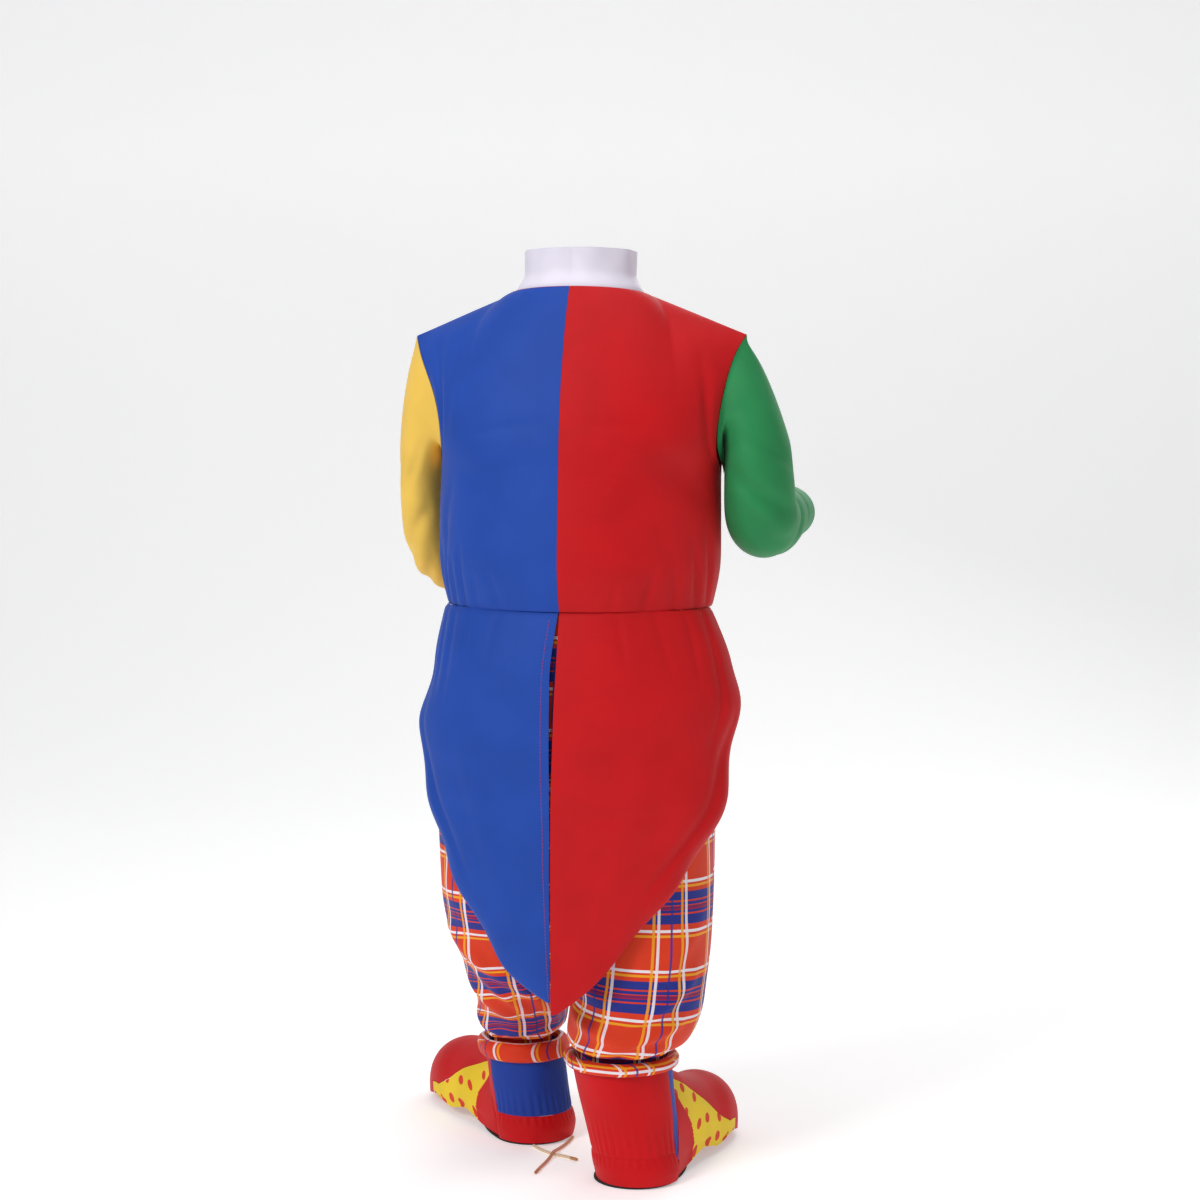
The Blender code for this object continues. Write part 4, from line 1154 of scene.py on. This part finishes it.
ROLLS = (
    ("left", 1, LEFT_SHOE, LEFT_ROLL, (0.34, 0.060), (0.010, 0.064)),
    ("right", -1, RIGHT_SHOE, RIGHT_ROLL, (0.40, 0.042), (0.030, 0.036)),
)
for label, side, shoe, depth, size, origin in ROLLS:
    name = f"hem_roll_{label}"
    base = roll_surface(side, shoe, depth)
    inner = sunk(base, (), side, SHELL)
    piece = lay_wall(name, base, inner, 150, 36, plaid_cloth, ring=True, origin=origin, turned=-side)
    cut(piece, "plaid_cloth", name, size, size[0] * size[1])

# Laces: a tan cord from beside the left heel, laid over a shorter pale one
LACE = 0.0042
LACE_ROUTE = (
    (0.0350, -0.120, 0.0024), (0.0362, -0.098, 0.0024), (0.0390, -0.078, 0.0024),
    (0.0420, -0.060, 0.0034), (0.0434, -0.044, 0.0050), (0.0440, -0.029, 0.0034),
    (0.0455, -0.010, 0.0023), (0.0475, 0.012, 0.0023), (0.0487, 0.034, 0.0023),
)
SHORT_ROUTE = (
    (0.0765, -0.0745, 0.0023), (0.0660, -0.0620, 0.0023), (0.0550, -0.0520, 0.0023),
    (0.0434, -0.0440, 0.0023), (0.0270, -0.0370, 0.0023), (0.0093, -0.0277, 0.0023),
)
BRAID = 0.0022
LACE_TIP = 0.012
LACE_TIP_FADE = 0.002


def braided(name, colour, tip_colour):
    """Braided round lace: dark and light strands across, with a dipped tip."""
    material, tree, shader = coat(name, 0.7)
    shader.inputs["Sheen Weight"].default_value = 0.3
    place = node(tree, "ShaderNodeTexCoord")
    strands = threads(tree, place, "DIAGONAL", BRAID, 0.6)
    body = node(tree, "ShaderNodeMix", {"data_type": "RGBA"}, _0=(strands, "Fac"))
    body.inputs[6].default_value = shade(colour)
    body.inputs[7].default_value = [0.8 * c for c in shade(colour)[:3]] + [1]
    ends = node(tree, "ShaderNodeAttribute", {"attribute_name": "tip"})
    whole = node(tree, "ShaderNodeMix", {"data_type": "RGBA"}, _0=(ends, "Fac"), _6=(body, 2))
    whole.inputs[7].default_value = shade(tip_colour)
    tree.links.new(whole.outputs[2], shader.inputs["Base Color"])
    bump = node(tree, "ShaderNodeBump", Height=(strands, "Fac"), Strength=0.5, Distance=0.0004)
    tree.links.new(bump.outputs["Normal"], shader.inputs["Normal"])
    return material


def lay_cord(name, route, material, around=14, steps=150):
    """A round tube along a route, with rounded ends and a UV map along it."""
    line = [at(*spline(route, i / steps)) for i in range(steps + 1)]
    run = [0.0]
    for a, b in zip(line, line[1:]):
        run.append(run[-1] + (b - a).length)
    bm = bmesh.new()
    flat = bm.loops.layers.uv.new("braid")
    tip = bm.verts.layers.float.new("tip")
    rings = []
    for i, point in enumerate(line):
        along = (line[min(i + 1, steps)] - line[max(i - 1, 0)]).normalized()
        across = along.cross(Vector((0, 0, 1))).normalized()
        up = across.cross(along)
        end = min(run[i], run[-1] - run[i]) / (LACE / 2)
        radius = LACE / 2 * sqrt(max(0.06, 1 - max(0, 1 - end) ** 2))
        ring = []
        for k in range(around):
            turn = 2 * pi * k / around
            vert = bm.verts.new(point + radius * (cos(turn) * across + sin(turn) * up))
            vert[tip] = smooth(run[-1] - LACE_TIP, run[-1] - LACE_TIP + LACE_TIP_FADE, run[i])
            ring.append(vert)
        rings.append(ring)
    for i in range(steps):
        for k in range(around):
            m = (k + 1) % around
            face = bm.faces.new((rings[i][k], rings[i][m], rings[i + 1][m], rings[i + 1][k]))
            face.smooth = True
            turns = (k, k + 1, k + 1, k)
            for loop, turn, row in zip(face.loops, turns, (i, i, i + 1, i + 1)):
                loop[flat].uv = (turn / around * pi * LACE, run[row])
    bm.faces.new(rings[0][::-1])
    bm.faces.new(rings[-1])
    bmesh.ops.recalc_face_normals(bm, faces=bm.faces[:])
    piece = set_down(name, bm, material)
    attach(piece, "root")
    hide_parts("lace")


lay_cord("lace_long", LACE_ROUTE, braided("Tan braided lace", "D98350", "B86A35"))
lay_cord("lace_short", SHORT_ROUTE, braided("Pale braided lace", "F4DDB8", "C08A55"))

# Stage: white studio paper that sweeps up behind, and soft light from above and both sides
PAPER_HALF = 7.0
PAPER_FRONT = 2.6
PAPER_BEND = 2.4
PAPER_RADIUS = 1.6
PAPER_TOP = 6.0
PAPER_GLOW = 0.34
profile = [(-PAPER_FRONT, 0)]
profile += [(PAPER_BEND + PAPER_RADIUS * sin(radians(3 * i)), PAPER_RADIUS * (1 - cos(radians(3 * i))))
            for i in range(31)]
profile.append((PAPER_BEND + PAPER_RADIUS, PAPER_TOP))
bm = bmesh.new()
rows = []
for away, height in profile:
    centre = -camera_back * away + at(0, 0, height)
    rows.append([bm.verts.new(centre + camera_right * reach) for reach in (-PAPER_HALF, PAPER_HALF)])
for low, high in zip(rows, rows[1:]):
    bm.faces.new((low[0], low[1], high[1], high[0])).smooth = True
paper, _, paper_shader = coat("Matt white studio paper, evenly lit", 0.9, "F2F2F2")
paper_shader.inputs["Emission Color"].default_value = (1, 1, 1, 1)
paper_shader.inputs["Emission Strength"].default_value = PAPER_GLOW
set_down("floor", bm, paper)

# Place from the camera's view: to its right, toward it, height. Then size and power in W
LIGHTS = (
    ("key", -1.9, 2.2, 2.3, 1.1, 50),
    ("fill", 2.6, 1.8, 1.5, 1.8, 10),
    ("top", 0.1, 0.5, 3.2, 2.0, 30),
    ("rim", 1.2, -2.4, 2.2, 1.6, 18),
)
for name, aside, toward, height, size, power in LIGHTS:
    lamp = bpy.data.lights.new(name, "AREA")
    lamp.size = size
    lamp.energy = power
    light = bpy.data.objects.new(name, lamp)
    light.location = camera_right * aside + camera_back * toward + at(0, 0, height)
    light.rotation_euler = (at(0, 0, 0.6) - light.location).to_track_quat("-Z", "Y").to_euler()
    bpy.context.scene.collection.objects.link(light)

world = bpy.data.worlds.new("studio")
world.use_nodes = True
world.node_tree.nodes["Background"].inputs["Color"].default_value = shade("FAFBFF")
world.node_tree.nodes["Background"].inputs["Strength"].default_value = 0.22
bpy.context.scene.world = world
bpy.context.scene.view_settings.view_transform = "Standard"
